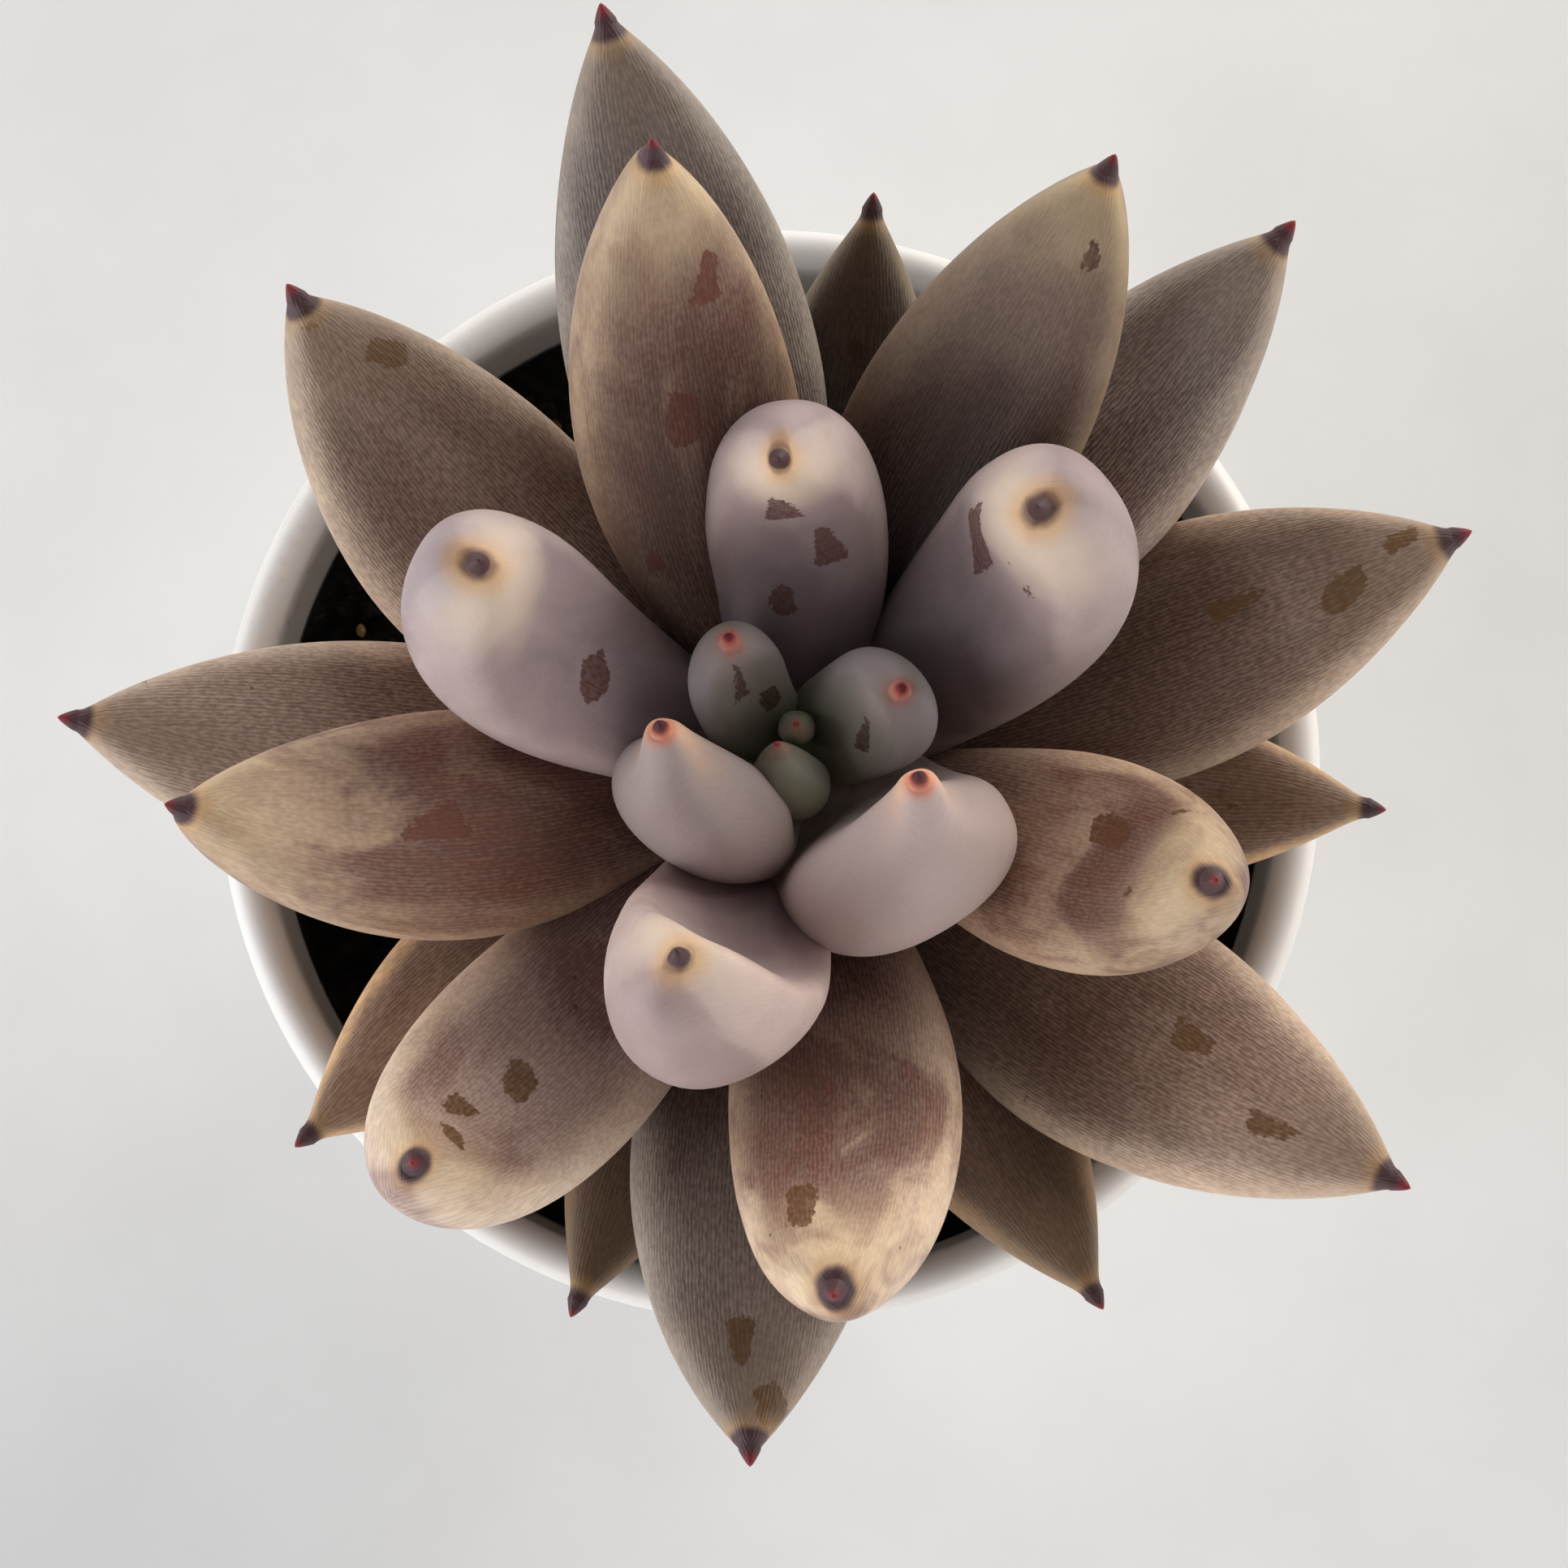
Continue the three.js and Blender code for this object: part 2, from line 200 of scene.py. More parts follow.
def mixed(tree, share, first, second, blend="MIX"):
    """One colour over another: each is a socket, or its red, green and blue."""
    made = node(tree, "ShaderNodeMix", {0: share}, data_type="RGBA", blend_type=blend, clamp_factor=True)
    for index, colour in ((6, first), (7, second)):
        feed(tree, made.inputs[index], (*colour, 1) if isinstance(colour, tuple) else colour)
    return made.outputs[2]


def noise(tree, vector, scale, detail=2.0, **more):
    """A soft random pattern of 0 to 1."""
    inputs = {"Vector": vector, "Scale": scale, "Detail": detail, **more}
    return node(tree, "ShaderNodeTexNoise", inputs).outputs["Fac"]


def stretched(tree, vector, scale):
    """A vector scaled along each of its axes, by a Mapping node."""
    return node(tree, "ShaderNodeMapping", {"Vector": vector, "Scale": scale}).outputs["Vector"]


def parted(tree, vector):
    """The X, Y and Z of a vector."""
    return node(tree, "ShaderNodeSeparateXYZ", {0: vector}).outputs


def room_place(tree):
    """Where a point is in metres: every piece has its own origin at the middle of the table."""
    return node(tree, "ShaderNodeTexCoord").outputs["Object"]


# %% Helpers for groups and finishes
ORIGIN = (0.0, 0.0, 0.0)


def new_group(name, inputs, outputs):
    """An empty node group: its inputs with their first values, its outputs all plain numbers."""
    group = bpy.data.node_groups.new(name, "ShaderNodeTree")
    for socket, value in inputs.items():
        kind = "NodeSocketVector" if isinstance(value, tuple) else "NodeSocketFloat"
        made = group.interface.new_socket(socket, in_out="INPUT", socket_type=kind)
        made.default_value = value
    for socket in outputs:
        group.interface.new_socket(socket, in_out="OUTPUT", socket_type="NodeSocketFloat")
    start = group.nodes.new("NodeGroupInput")
    end = group.nodes.new("NodeGroupOutput")
    return group, start.outputs, end.inputs


def place_group(tree, group, inputs):
    """A group placed in a tree, with its own values."""
    return node(tree, "ShaderNodeGroup", inputs, node_tree=group).outputs


def new_finish(name, **numbers):
    """A material with its Principled shader: numbers such as subsurface_weight go on its sockets."""
    finish = bpy.data.materials.new(name)
    finish.use_nodes = True
    tree = finish.node_tree
    shader = tree.nodes["Principled BSDF"]
    for key, value in numbers.items():
        shader.inputs[key.replace("_", " ").title().replace("Ior", "IOR")].default_value = value
    return finish, tree, shader


def set_glow(shader, reach, millimetres):
    """How far light runs under the skin: red, green and blue shares of a length."""
    shader.inputs["Subsurface Radius"].default_value = reach
    shader.inputs["Subsurface Scale"].default_value = millimetres * MM


def paint(tree, shader, colour, roughness):
    """Links the colour and the roughness to the shader."""
    tree.links.new(colour, shader.inputs["Base Color"])
    tree.links.new(roughness, shader.inputs["Roughness"])


def roughen(tree, shader, height, millimetres, strength):
    """Gives the shader a fine relief from a height."""
    inputs = {"Height": height, "Distance": millimetres * MM, "Strength": strength}
    tree.links.new(node(tree, "ShaderNodeBump", inputs).outputs["Normal"], shader.inputs["Normal"])


def wear(piece, finish):
    piece.data.materials.clear()
    piece.data.materials.append(finish)


# %% [markdown]
# ## Floor and light
#
# The plant stands on a plain pale table in soft daylight. The white table throws light back up on
# the leaves, and whoever holds the camera shades them from straight above, so the middle of each
# leaf is dark and its edges glow. A world that is dim overhead and bright at the sides gives part of
# that, with a large soft warm lamp from the upper right for the shadows and a weaker cool one from
# the left. The rest is painted shade and painted edge light in the colours of the leaves.

# %% Lay the floor
FLOOR_SIZE = 3.0  # metres
FLOOR_GREY = (0.86, 0.855, 0.845)
FLOOR_DIMMING = 0.965

let_go()
bpy.ops.mesh.primitive_plane_add(size=FLOOR_SIZE, location=(0, 0, 0))
floor = named("table_top")
finish, tree, shader = new_finish("pale_table", roughness=0.6)
shade = spread(tree, noise(tree, room_place(tree), 45.0, 3.0), 0.3, 0.7)
dim = tuple(FLOOR_DIMMING * part for part in FLOOR_GREY)
tree.links.new(mixed(tree, shade, dim, FLOOR_GREY), shader.inputs["Base Color"])
wear(floor, finish)
print("floor in metres:", FLOOR_SIZE)

# %% Light the scene
SIDE_SKY = (1.0, 0.985, 0.97)
OVERHEAD_SKY = (0.02, 0.02, 0.022)
SKY_STRENGTH = 2.15
AIMED_AT = (0, 0, 0.07)  # the middle of the plant, in metres

bpy.context.scene.view_settings.view_transform = "Standard"
world = bpy.data.worlds.new("daylight")
bpy.context.scene.world = world
world.use_nodes = True
sky = world.node_tree
rise = parted(sky, node(sky, "ShaderNodeTexCoord").outputs["Generated"])["Z"]
glow = mixed(sky, spread(sky, rise, 0.25, 0.72), SIDE_SKY, OVERHEAD_SKY)
sky.links.new(glow, sky.nodes["Background"].inputs["Color"])
sky.nodes["Background"].inputs["Strength"].default_value = SKY_STRENGTH


def soft_lamp(name, place, side, watts, colour):
    """A square area lamp that faces the plant."""
    lamp = bpy.data.lights.new(name, "AREA")
    lamp.size = side
    lamp.energy = watts
    lamp.color = colour
    holder = bpy.data.objects.new(name, lamp)
    holder.location = place
    holder.rotation_euler = (Vector(AIMED_AT) - Vector(place)).to_track_quat("-Z", "Y").to_euler()
    bpy.context.scene.collection.objects.link(holder)


soft_lamp("window", (0.6, 0.65, 0.42), 0.7, 5.0, (1.0, 0.95, 0.87))
soft_lamp("left_sky", (-0.8, -0.3, 0.4), 0.8, 4.0, (0.88, 0.93, 1.0))
print("lamps:", [thing.name for thing in bpy.data.lights])

# %% [markdown]
# ## The pot
#
# The pot is one thin moulding: a rolled rim, a straight collar, a tapered wall that swells a
# little, and a flat floor with drain holes. Its section is the same all round, so we draw half of
# it as a chain of points and spin that round the upright axis. Extruding a circle step by step
# would give the same shape, but the chain is easier to read and to change.

# %% Spin a profile
def spun(name, profile, steps, middle=(0, 0)):
    """Spins a chain of (radius, height) points, in mm, round the upright line through middle."""
    let_go()
    bpy.ops.mesh.primitive_plane_add(size=MM, location=(0, 0, 0))
    piece = named(name)
    bpy.ops.object.mode_set(mode="EDIT")
    bpy.ops.mesh.select_all(action="SELECT")
    bpy.ops.mesh.merge(type="CENTER")
    radius, height = profile[0]
    bpy.ops.transform.translate(value=in_metres(middle[0] + radius, middle[1], height))
    for next_radius, next_height in profile[1:]:
        step = in_metres(next_radius - radius, 0, next_height - height)
        bpy.ops.mesh.extrude_region_move(TRANSFORM_OT_translate={"value": step})
        radius, height = next_radius, next_height
    bpy.ops.mesh.select_all(action="SELECT")
    centre = in_metres(middle[0], middle[1], 0)
    bpy.ops.mesh.spin(steps=steps, angle=math.tau, center=centre, axis=(0, 0, 1))
    bpy.ops.mesh.select_all(action="SELECT")
    bpy.ops.mesh.remove_doubles(threshold=0.002 * MM)
    bpy.ops.mesh.normals_make_consistent(inside=False)
    bpy.ops.object.mode_set(mode="OBJECT")
    return piece


# %% Sizes of the pot
POT_HEIGHT = 78
RIM_RADIUS = 45.5
RIM_WIDTH = 3.4
RIM_DROP = 5
RIM_CHAMFER = 0.5
WALL = 1.8
COLLAR_HEIGHT = 12
FOOT_RADIUS = 31
FOOT_ROUND = 1.5
FOOT_WIDTH = 8
WALL_SWELL = 0.8
FLOOR_THICKNESS = 3
INNER_ROUND = 1.5
RIM_INNER = RIM_RADIUS - RIM_WIDTH
COLLAR_FOOT = POT_HEIGHT - COLLAR_HEIGHT
COLLAR_RADIUS = RIM_INNER + WALL
POT_STEPS = 128


def wall_radius(height):
    """Outside radius of the wall at a height up to the collar's foot."""
    share = height / COLLAR_FOOT
    swell = WALL_SWELL * math.sin(math.pi * share)
    return FOOT_RADIUS + (COLLAR_RADIUS - FOOT_RADIUS) * share + swell


def wall_line(low, inset, parts=14):
    """The wall from a height up to the collar's foot, moved in by inset."""
    heights = [low + (COLLAR_FOOT - low) * i / parts for i in range(parts)]
    return [(wall_radius(height) - inset, height) for height in heights]


def arc(middle, radius, start, end, parts):
    """Points round part of a circle, in degrees."""
    turns = [math.radians(start + (end - start) * i / parts) for i in range(parts + 1)]
    return [(middle[0] + radius * math.cos(t), middle[1] + radius * math.sin(t)) for t in turns]


print("wall radius half way up:", round(wall_radius(COLLAR_FOOT / 2), 2))

# %% Draw and spin the pot
lip = POT_HEIGHT - RIM_DROP
half_rim = RIM_WIDTH / 2
foot_arc = arc((FOOT_RADIUS - FOOT_ROUND, FOOT_ROUND), FOOT_ROUND, -90, 0, 5)
outside = [(0, 0), (FOOT_RADIUS - FOOT_WIDTH, 0), *foot_arc, *wall_line(2 * FOOT_ROUND, 0)]
collar = [(COLLAR_RADIUS, COLLAR_FOOT), (COLLAR_RADIUS, lip)]
lip_arc = arc((RIM_RADIUS - RIM_CHAMFER, lip + RIM_CHAMFER), RIM_CHAMFER, -90, 0, 4)
roll = arc((RIM_INNER + half_rim, POT_HEIGHT - half_rim), half_rim, 0, 180, 18)
inner_low = FLOOR_THICKNESS + INNER_ROUND
inside = [(RIM_INNER, COLLAR_FOOT), *reversed(wall_line(inner_low, WALL))]
inner_arc = arc((inside[-1][0] - INNER_ROUND, inner_low), INNER_ROUND, 0, -90, 4)[1:]
profile = [*outside, *collar, *lip_arc, *roll, *inside, *inner_arc, (0, FLOOR_THICKNESS)]
pot = spun("white_pot", profile, POT_STEPS)
print("pot triangles:", count(pot))

# %% [markdown]
# The floor of such a pot has a ring of round drain holes. One cutter is modelled and copied round
# the ring, and a Boolean modifier takes each copy out of the pot, as a drill would.

# %% Cut the drain holes
DRAIN_RADIUS = 3
DRAIN_CIRCLE = 17
DRAIN_COUNT = 5
DRILL_LENGTH = 9
DRILL_HEIGHT = 1

for hole in range(DRAIN_COUNT):
    turn = math.tau * hole / DRAIN_COUNT
    spot = in_metres(DRAIN_CIRCLE * math.cos(turn), DRAIN_CIRCLE * math.sin(turn), DRILL_HEIGHT)
    let_go()
    bpy.ops.mesh.primitive_cylinder_add(
        vertices=48, radius=DRAIN_RADIUS * MM, depth=DRILL_LENGTH * MM, location=spot
    )
    cutter = named("drill")
    take_up(pot)
    cut = pot.modifiers.new("drain", "BOOLEAN")
    cut.operation = "DIFFERENCE"
    cut.solver = "EXACT"
    cut.object = cutter
    bpy.ops.object.modifier_apply(modifier=cut.name)
    bpy.data.objects.remove(cutter)
finish_shape(pot, 40)
print("pot triangles with drains:", count(pot))

# %% [markdown]
# ### Finish of the pot
#
# Pots of this kind are moulded in warm white plastic. Close up the skin is faintly uneven, it has
# taken a little soil dust inside, and handling has left it less even in gloss. The inner wall under
# the rim is darker, partly a stain of soil and partly painted shade. One group gives the dust to the
# pot, and later to the stem.

# %% Group for settled dust
DUST_LEVEL = 0.42  # how high the two noises have to reach together before dust shows
DUST_GAIN = 0.3
DUST_CONTRAST = 9.0

group, given, put_out = new_group(
    "Settled dust",
    {"Vector": ORIGIN, "Grain": 900.0, "Patch": 60.0, "Amount": 0.3},
    ["Mask"],
)
fine = noise(group, given["Vector"], given["Grain"])
wide = noise(group, given["Vector"], given["Patch"], 3.0)
level = sums(group, "SUBTRACT", DUST_LEVEL, times(group, given["Amount"], DUST_GAIN))
above = sums(group, "SUBTRACT", times(group, fine, wide), level)
feed(group, put_out["Mask"], times(group, above, DUST_CONTRAST, clamp=True))
settled_dust = group
print("group:", settled_dust.name)

# %% Finish of the pot
POT_WHITE = (0.8, 0.775, 0.75)
POT_SHADE = (0.755, 0.725, 0.695)
POT_DUST = (0.33, 0.27, 0.21)
POT_STAIN_AND_SHADE = (0.24, 0.2, 0.165)
STAIN_AND_SHADE_TOP = (POT_HEIGHT - 0.8, POT_HEIGHT - 4)  # heights where the soil stain and painted shade on the inner wall begin
STAIN_AND_SHADE_FOOT = (POT_HEIGHT - 18, POT_HEIGHT - 14)  # and where they end, hidden by the soil
STAIN_AND_SHADE_AMOUNT = 0.75

finish, tree, shader = new_finish("warm_white_plastic", ior=1.48, subsurface_weight=0.08)
set_glow(shader, (1.0, 0.8, 0.6), 1.5)
place = room_place(tree)
drift = noise(tree, place, 38.0, 3.0)
skin = mixed(tree, spread(tree, drift, 0.35, 0.65), POT_SHADE, POT_WHITE)
x, y, z = parted(tree, place)
out = sums(tree, "SQRT", plus(tree, times(tree, x, x), times(tree, y, y)))
# Painted shade and a stain of soil on the inner wall, from under the rim down to the soil.
within = spread(tree, out, (RIM_INNER + 0.6) * MM, (RIM_INNER - 0.2) * MM)
below = spread(tree, z, *in_metres(*STAIN_AND_SHADE_TOP))
above = spread(tree, z, *in_metres(*STAIN_AND_SHADE_FOOT))
stain_and_shade = times(tree, within, below, above)
stained_and_shaded = mixed(tree, times(tree, stain_and_shade, STAIN_AND_SHADE_AMOUNT), skin, POT_STAIN_AND_SHADE)
dust = place_group(tree, settled_dust, {"Vector": place, "Amount": 0.28})["Mask"]
dusted = times(tree, dust, plus(tree, times(tree, stain_and_shade, 0.8), 0.1))
paint(tree, shader, mixed(tree, dusted, stained_and_shaded, POT_DUST), spread(tree, drift, 0.3, 0.7, 0.3, 0.42))
roughen(tree, shader, noise(tree, place, 1400.0, 1.0), 0.01, 0.5)
wear(pot, finish)
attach(pot, "root")
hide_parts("pot")
print("finish:", finish.name)

# %% [markdown]
# ## The soil
#
# Black potting mix fills the pot to 8 mm under the rim. Its plug is spun like the pot, with a fine
# net of faces on top, and two Displace modifiers with cloud textures lift that net into lumps and
# crumbs. Only the top is in the vertex group that they move, so the sides still fit the pot.

# %% Spin the soil
SOIL_TOP = 70
SOIL_GAP = 0.3
SOIL_MARGIN = 0.2  # this close to the pot the surface stays where it is
SOIL_RINGS = 70
SOIL_STEPS = 180
LEVEL_WITHIN = 0.01

soil_edge = RIM_INNER - SOIL_GAP
soil_low = FLOOR_THICKNESS + SOIL_GAP
plug = wall_line(soil_low + INNER_ROUND, WALL + SOIL_GAP, 4)
top_line = [(soil_edge * (1 - i / SOIL_RINGS), SOIL_TOP) for i in range(SOIL_RINGS + 1)]
side_line = [(0, soil_low), (plug[0][0] - INNER_ROUND, soil_low), *plug, (soil_edge, COLLAR_FOOT)]
soil = spun("black_soil", [*side_line, *top_line], SOIL_STEPS)
surface = soil.vertex_groups.new(name="surface")
top_points = [
    v.index for v in soil.data.vertices
    if v.co.z > (SOIL_TOP - LEVEL_WITHIN) * MM
    and math.hypot(v.co.x, v.co.y) < (soil_edge - SOIL_MARGIN) * MM
]
surface.add(top_points, 1.0, "REPLACE")
print("soil triangles:", count(soil), "points on top:", len(top_points))

# %% Raise the soil's lumps and crumbs
SOIL_WAVES = {"lumps": (7.0, 2.0), "crumbs": (1.6, 1.3)}  # how wide and how high, in mm
SOIL_SINK = 0.6  # the share of the waves that goes down instead of up

for name, (grain, lift) in SOIL_WAVES.items():
    clouds = bpy.data.textures.new(name, "CLOUDS")
    clouds.noise_scale = grain * MM
    clouds.noise_depth = 2
    swell = soil.modifiers.new(name, "DISPLACE")
    swell.texture = clouds
    swell.texture_coords = "LOCAL"
    swell.direction = "Z"
    swell.strength = lift * MM
    swell.mid_level = SOIL_SINK
    swell.vertex_group = "surface"
    take_up(soil)
    bpy.ops.object.modifier_apply(modifier=name)
finish_shape(soil, 60)
print("highest soil in mm:", round(max(v.co.z for v in soil.data.vertices) / MM, 2))

# %% [markdown]
# Loose crumbs lie on the soil: black peat, and a few bits of brown bark and ochre grit. One crumb
# is a cube, subdivided once and pushed out of shape. Each copy has its own mesh, its own size and
# turn, and the copies of a kind are joined into one piece. It keeps to a few dozen faces, because
# it is repeated hundreds of times.

# %% Model one crumb and scatter its copies
CRUMB_KINDS = {"peat": (620, 0.5, 1.5), "bark": (34, 0.8, 2.0), "grit": (26, 0.7, 1.6)}
CLEAR_SHARE = 0.12  # the share of the soil, round its middle, that gets no crumbs
POT_MARGIN = 2
DROP_HEIGHT = 9
CRUMB_LIFT = 0.35  # of half its width, so that a crumb sinks in a little
CRUMB_STRETCH = (0.6, 1.1)
chance = np.random.default_rng(7)

let_go()
bpy.ops.mesh.primitive_cube_add(size=2, location=(0, 0, 0))
crumb = named("crumb")
open_edit(crumb)
bpy.ops.mesh.select_all(action="SELECT")
bpy.ops.mesh.subdivide(number_cuts=1, smoothness=0.8, fractal=1.2, seed=3)
bpy.ops.object.mode_set(mode="OBJECT")
bpy.ops.object.shade_smooth()


def scatter(name, number, smallest, largest):
    """Copies of the crumb on the soil, joined into one piece."""
    copies = []
    while len(copies) < number:
        turn = chance.uniform(0, math.tau)
        out = (soil_edge - POT_MARGIN) * math.sqrt(chance.uniform(CLEAR_SHARE, 1))
        high = SOIL_TOP + DROP_HEIGHT
        start = Vector(in_metres(out * math.cos(turn), out * math.sin(turn), high))
        hit, ground, _, _ = soil.ray_cast(start, Vector((0, 0, -1)))
        size = chance.uniform(smallest, largest) / 2
        if not hit:
            continue
        copy = bpy.data.objects.new(f"{name}_{len(copies)}", crumb.data.copy())
        copy.location = ground + Vector(in_metres(0, 0, CRUMB_LIFT * size))
        copy.rotation_euler = chance.uniform(0, math.tau, 3)
        copy.scale = size * MM * chance.uniform(*CRUMB_STRETCH, 3)
        bpy.context.scene.collection.objects.link(copy)
        copies.append(copy)
    let_go()
    for copy in copies:
        copy.select_set(True)
    bpy.context.view_layer.objects.active = copies[0]
    bpy.ops.object.join()
    bpy.ops.object.transform_apply(location=True, rotation=True, scale=True)
    return named(name)


crumbs = {kind: scatter(f"loose_{kind}", *values) for kind, values in CRUMB_KINDS.items()}
bpy.data.objects.remove(crumb)
print("crumb triangles:", {kind: count(piece) for kind, piece in crumbs.items()})

# %% [markdown]
# ### Finish of the soil
#
# Damp peat is nearly black and quite rough, with brown fibres where it has dried. The same tree
# serves the plug and each kind of crumb, with its own pair of colours.

# %% Finish of the soil
FIBRE_LIGHT = 2.2  # how much lighter than the crumbs the dry fibres are


def soil_finish(name, dark, light, grain):
    finish, tree, shader = new_finish(name, ior=1.2)
    place = room_place(tree)
    cloud = noise(tree, place, grain, 4.0)
    dust = {"Vector": place, "Grain": 1600.0, "Patch": 240.0, "Amount": 0.3}
    fleck = place_group(tree, settled_dust, dust)["Mask"]
    colour = mixed(tree, spread(tree, cloud, 0.35, 0.72), dark, light)
    lighter = tuple(min(1.0, FIBRE_LIGHT * part) for part in light)
    paint(tree, shader, mixed(tree, fleck, colour, lighter), spread(tree, cloud, 0.3, 0.7, 0.95, 0.75))
    roughen(tree, shader, cloud, 0.3, 0.8)
    return finish


SOIL_FINISHES = {
    "soil": soil_finish("damp_peat", (0.0015, 0.0013, 0.0012), (0.005, 0.004, 0.003), 700.0),
    "peat": soil_finish("peat_crumb", (0.002, 0.0017, 0.0015), (0.009, 0.006, 0.0045), 900.0),
    "bark": soil_finish("bark_chip", (0.03, 0.017, 0.009), (0.085, 0.048, 0.024), 1200.0),
    "grit": soil_finish("ochre_grit", (0.16, 0.095, 0.035), (0.28, 0.18, 0.07), 1500.0),
}
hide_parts("soil")
for kind, piece in [("soil", soil), *crumbs.items()]:
    wear(piece, SOIL_FINISHES[kind])
    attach(piece, "root")
print("soil finishes:", list(SOIL_FINISHES))

# %% [markdown]
# ## The stem
#
# The leaves hide the stem almost wholly. It is short and fleshy, thickest at the soil, with the
# scars of fallen leaves, and it narrows to the growing point. We spin it too, and let a Displace
# modifier roughen its skin.

# %% Spin the stem
STEM = (2, -1)  # it stands a little off the middle of the pot
STEM_LINE = [(4.6, 50), (5.2, 64), (5.8, 72), (5.8, 80), (4.4, 84.5), (2.6, 88), (1.4, 90), (0.4, 90.7)]
STEM_TOP = 90.8
STEM_RINGS = 64
STEM_STEPS = 48
SCAR_WIDTH = 2.4
SCAR_DEPTH = 0.5
SCAR_SINK = 0.75

line_radii, line_heights = zip(*STEM_LINE)
heights = np.linspace(line_heights[0], line_heights[-1], STEM_RINGS)
radii = np.interp(heights, line_heights, line_radii)
stem_profile = [(0, line_heights[0]), *zip(radii.tolist(), heights.tolist()), (0, STEM_TOP)]
stem = spun("fleshy_stem", stem_profile, STEM_STEPS, STEM)
scars = bpy.data.textures.new("scars", "CLOUDS")
scars.noise_scale = SCAR_WIDTH * MM
skin_swell = stem.modifiers.new("scars", "DISPLACE")
skin_swell.texture = scars
skin_swell.texture_coords = "LOCAL"
skin_swell.strength = SCAR_DEPTH * MM
skin_swell.mid_level = SCAR_SINK
take_up(stem)
bpy.ops.object.modifier_apply(modifier="scars")
finish_shape(stem)
print("stem triangles:", count(stem))

# %% [markdown]
# ### Finish of the stem
#
# Old bark is brown and ringed by the scars of the leaves, and the last few millimetres under the
# growing point are green. A noise that is squeezed along the stem gives the rings, and the height
# of a point says how young it is.

# %% Finish of the stem
BARK_DARK = (0.13, 0.1, 0.055)
BARK_LIGHT = (0.27, 0.23, 0.13)
YOUNG_GREEN = (0.27, 0.31, 0.17)
STEM_DUST = (0.05, 0.035, 0.02)
YOUNG_FROM, YOUNG_TO = 80, 88  # heights between which the stem turns green

finish, tree, shader = new_finish("stem_skin", ior=1.4)
place = room_place(tree)
band = noise(tree, stretched(tree, place, (1.0, 1.0, 3.2)), 420.0, 4.0)
bark = mixed(tree, spread(tree, band, 0.35, 0.65), BARK_DARK, BARK_LIGHT)
young = spread(tree, parted(tree, place)["Z"], *in_metres(YOUNG_FROM, YOUNG_TO))
colour = mixed(tree, young, bark, YOUNG_GREEN)
dust = place_group(tree, settled_dust, {"Vector": place, "Amount": 0.5})["Mask"]
paint(tree, shader, mixed(tree, dust, colour, STEM_DUST), spread(tree, band, 0.3, 0.7, 0.6, 0.85))
roughen(tree, shader, band, 0.2, 0.7)
wear(stem, finish)
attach(stem, "root")
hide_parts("stem")
print("finish:", finish.name)

# %% [markdown]
# ## The leaves
#
# All 29 leaves have one build: a narrow neck at the stem, a full middle, a round or pointed end,
# and a claw. So one straight blank is modelled: a cylinder whose long edges are subdivided into
# rings. Each leaf is a copy of the blank with its own mesh.
#
# A Curve modifier could bend the copies, but a real leaf also widens, flattens, turns its face and
# closes as it goes, each at its own rate. So each ring of a copy is set on its place along the
# leaf's own line, by the same rule as in the solids. The claws then fall where the frame has them.

# %% Model the blank
BLANK_SIDES = 64
BASE_RINGS = 44
END_RINGS = 44
CLAW_RINGS = 6
RINGS = BASE_RINGS + END_RINGS + CLAW_RINGS

let_go()
bpy.ops.mesh.primitive_cylinder_add(
    vertices=BLANK_SIDES, radius=1, depth=1, end_fill_type="TRIFAN", location=(0, 0, 0.5)
)
blank = named("leaf_blank")
bpy.ops.object.transform_apply(location=True, rotation=False, scale=False)
open_edit(blank)
pick(blank, "edges", lambda edge: abs(edge.verts[0].co.z - edge.verts[1].co.z) > 0.5)
bpy.ops.mesh.subdivide(number_cuts=RINGS - 2)
finish_shape(blank)
print("blank: rings", RINGS, "triangles", count(blank))

# %% [markdown]
# ### The rows of leaves
#
# Each row says how a leaf leaves the stem, where the point of its claw is, which way the claw
# points, which way the face of the leaf looks, and its full width and thickness. Ways are a turn
# from the right-hand side and a rise, in degrees.

# %% Kinds and rows of leaves
PLAIN = {"out": 0.42, "share": 0.45, "fullness": 0.5, "cup": 0, "knob": 0}
KINDS = {
    "bud": {"neck": 0.8, "widest": 0.45, "blunt": 0.7, "pull": 0.45},
    "inner": {"neck": 0.5, "widest": 0.5, "blunt": 0.62, "pull": 0.45},
    "middle": {"neck": 0.5, "widest": 0.6, "blunt": 0.5, "pull": 0.5},
    "upper": {"neck": 0.36, "widest": 0.52, "blunt": 0.72, "pull": 0.36},
    "long": {"neck": 0.32, "widest": 0.52, "blunt": 0.8, "pull": 0.36},
    "lower": {"neck": 0.32, "widest": 0.52, "blunt": 0.9, "pull": 0.36},
}
BUD_TIP = {"neck": 0.7, "cup": 0.3}
ROUND_OVAL = {"neck": 0.95, "widest": 0.5, "blunt": 0.45, "pull": 0.35}
FULL_OVAL = {"neck": 0.9, "widest": 0.55, "blunt": 0.42, "pull": 0.35, "share": 0.5}
HORN = {"neck": 0.8, "widest": 0.45, "blunt": 1.85, "pull": 0.42, "share": 0.5, "cup": 0.6, "knob": 2.4}
WIDE_HORN = {**HORN, "out": 0.54}
FINGER = {"neck": 0.7, "widest": 0.46, "blunt": 0.58}
SHORT_CURL = {"pull": 0.42}
SPOON = {"pull": 0.38, "blunt": 0.5, "share": 0.42, "out": 0.37, "cup": 3}
NARROW_END = {"blunt": 0.7, "cup": 0.6}
ROUND_END = {"blunt": 0.6, "cup": 0.6}
CHANNEL = {"cup": 0.8}
LEAVES = {}


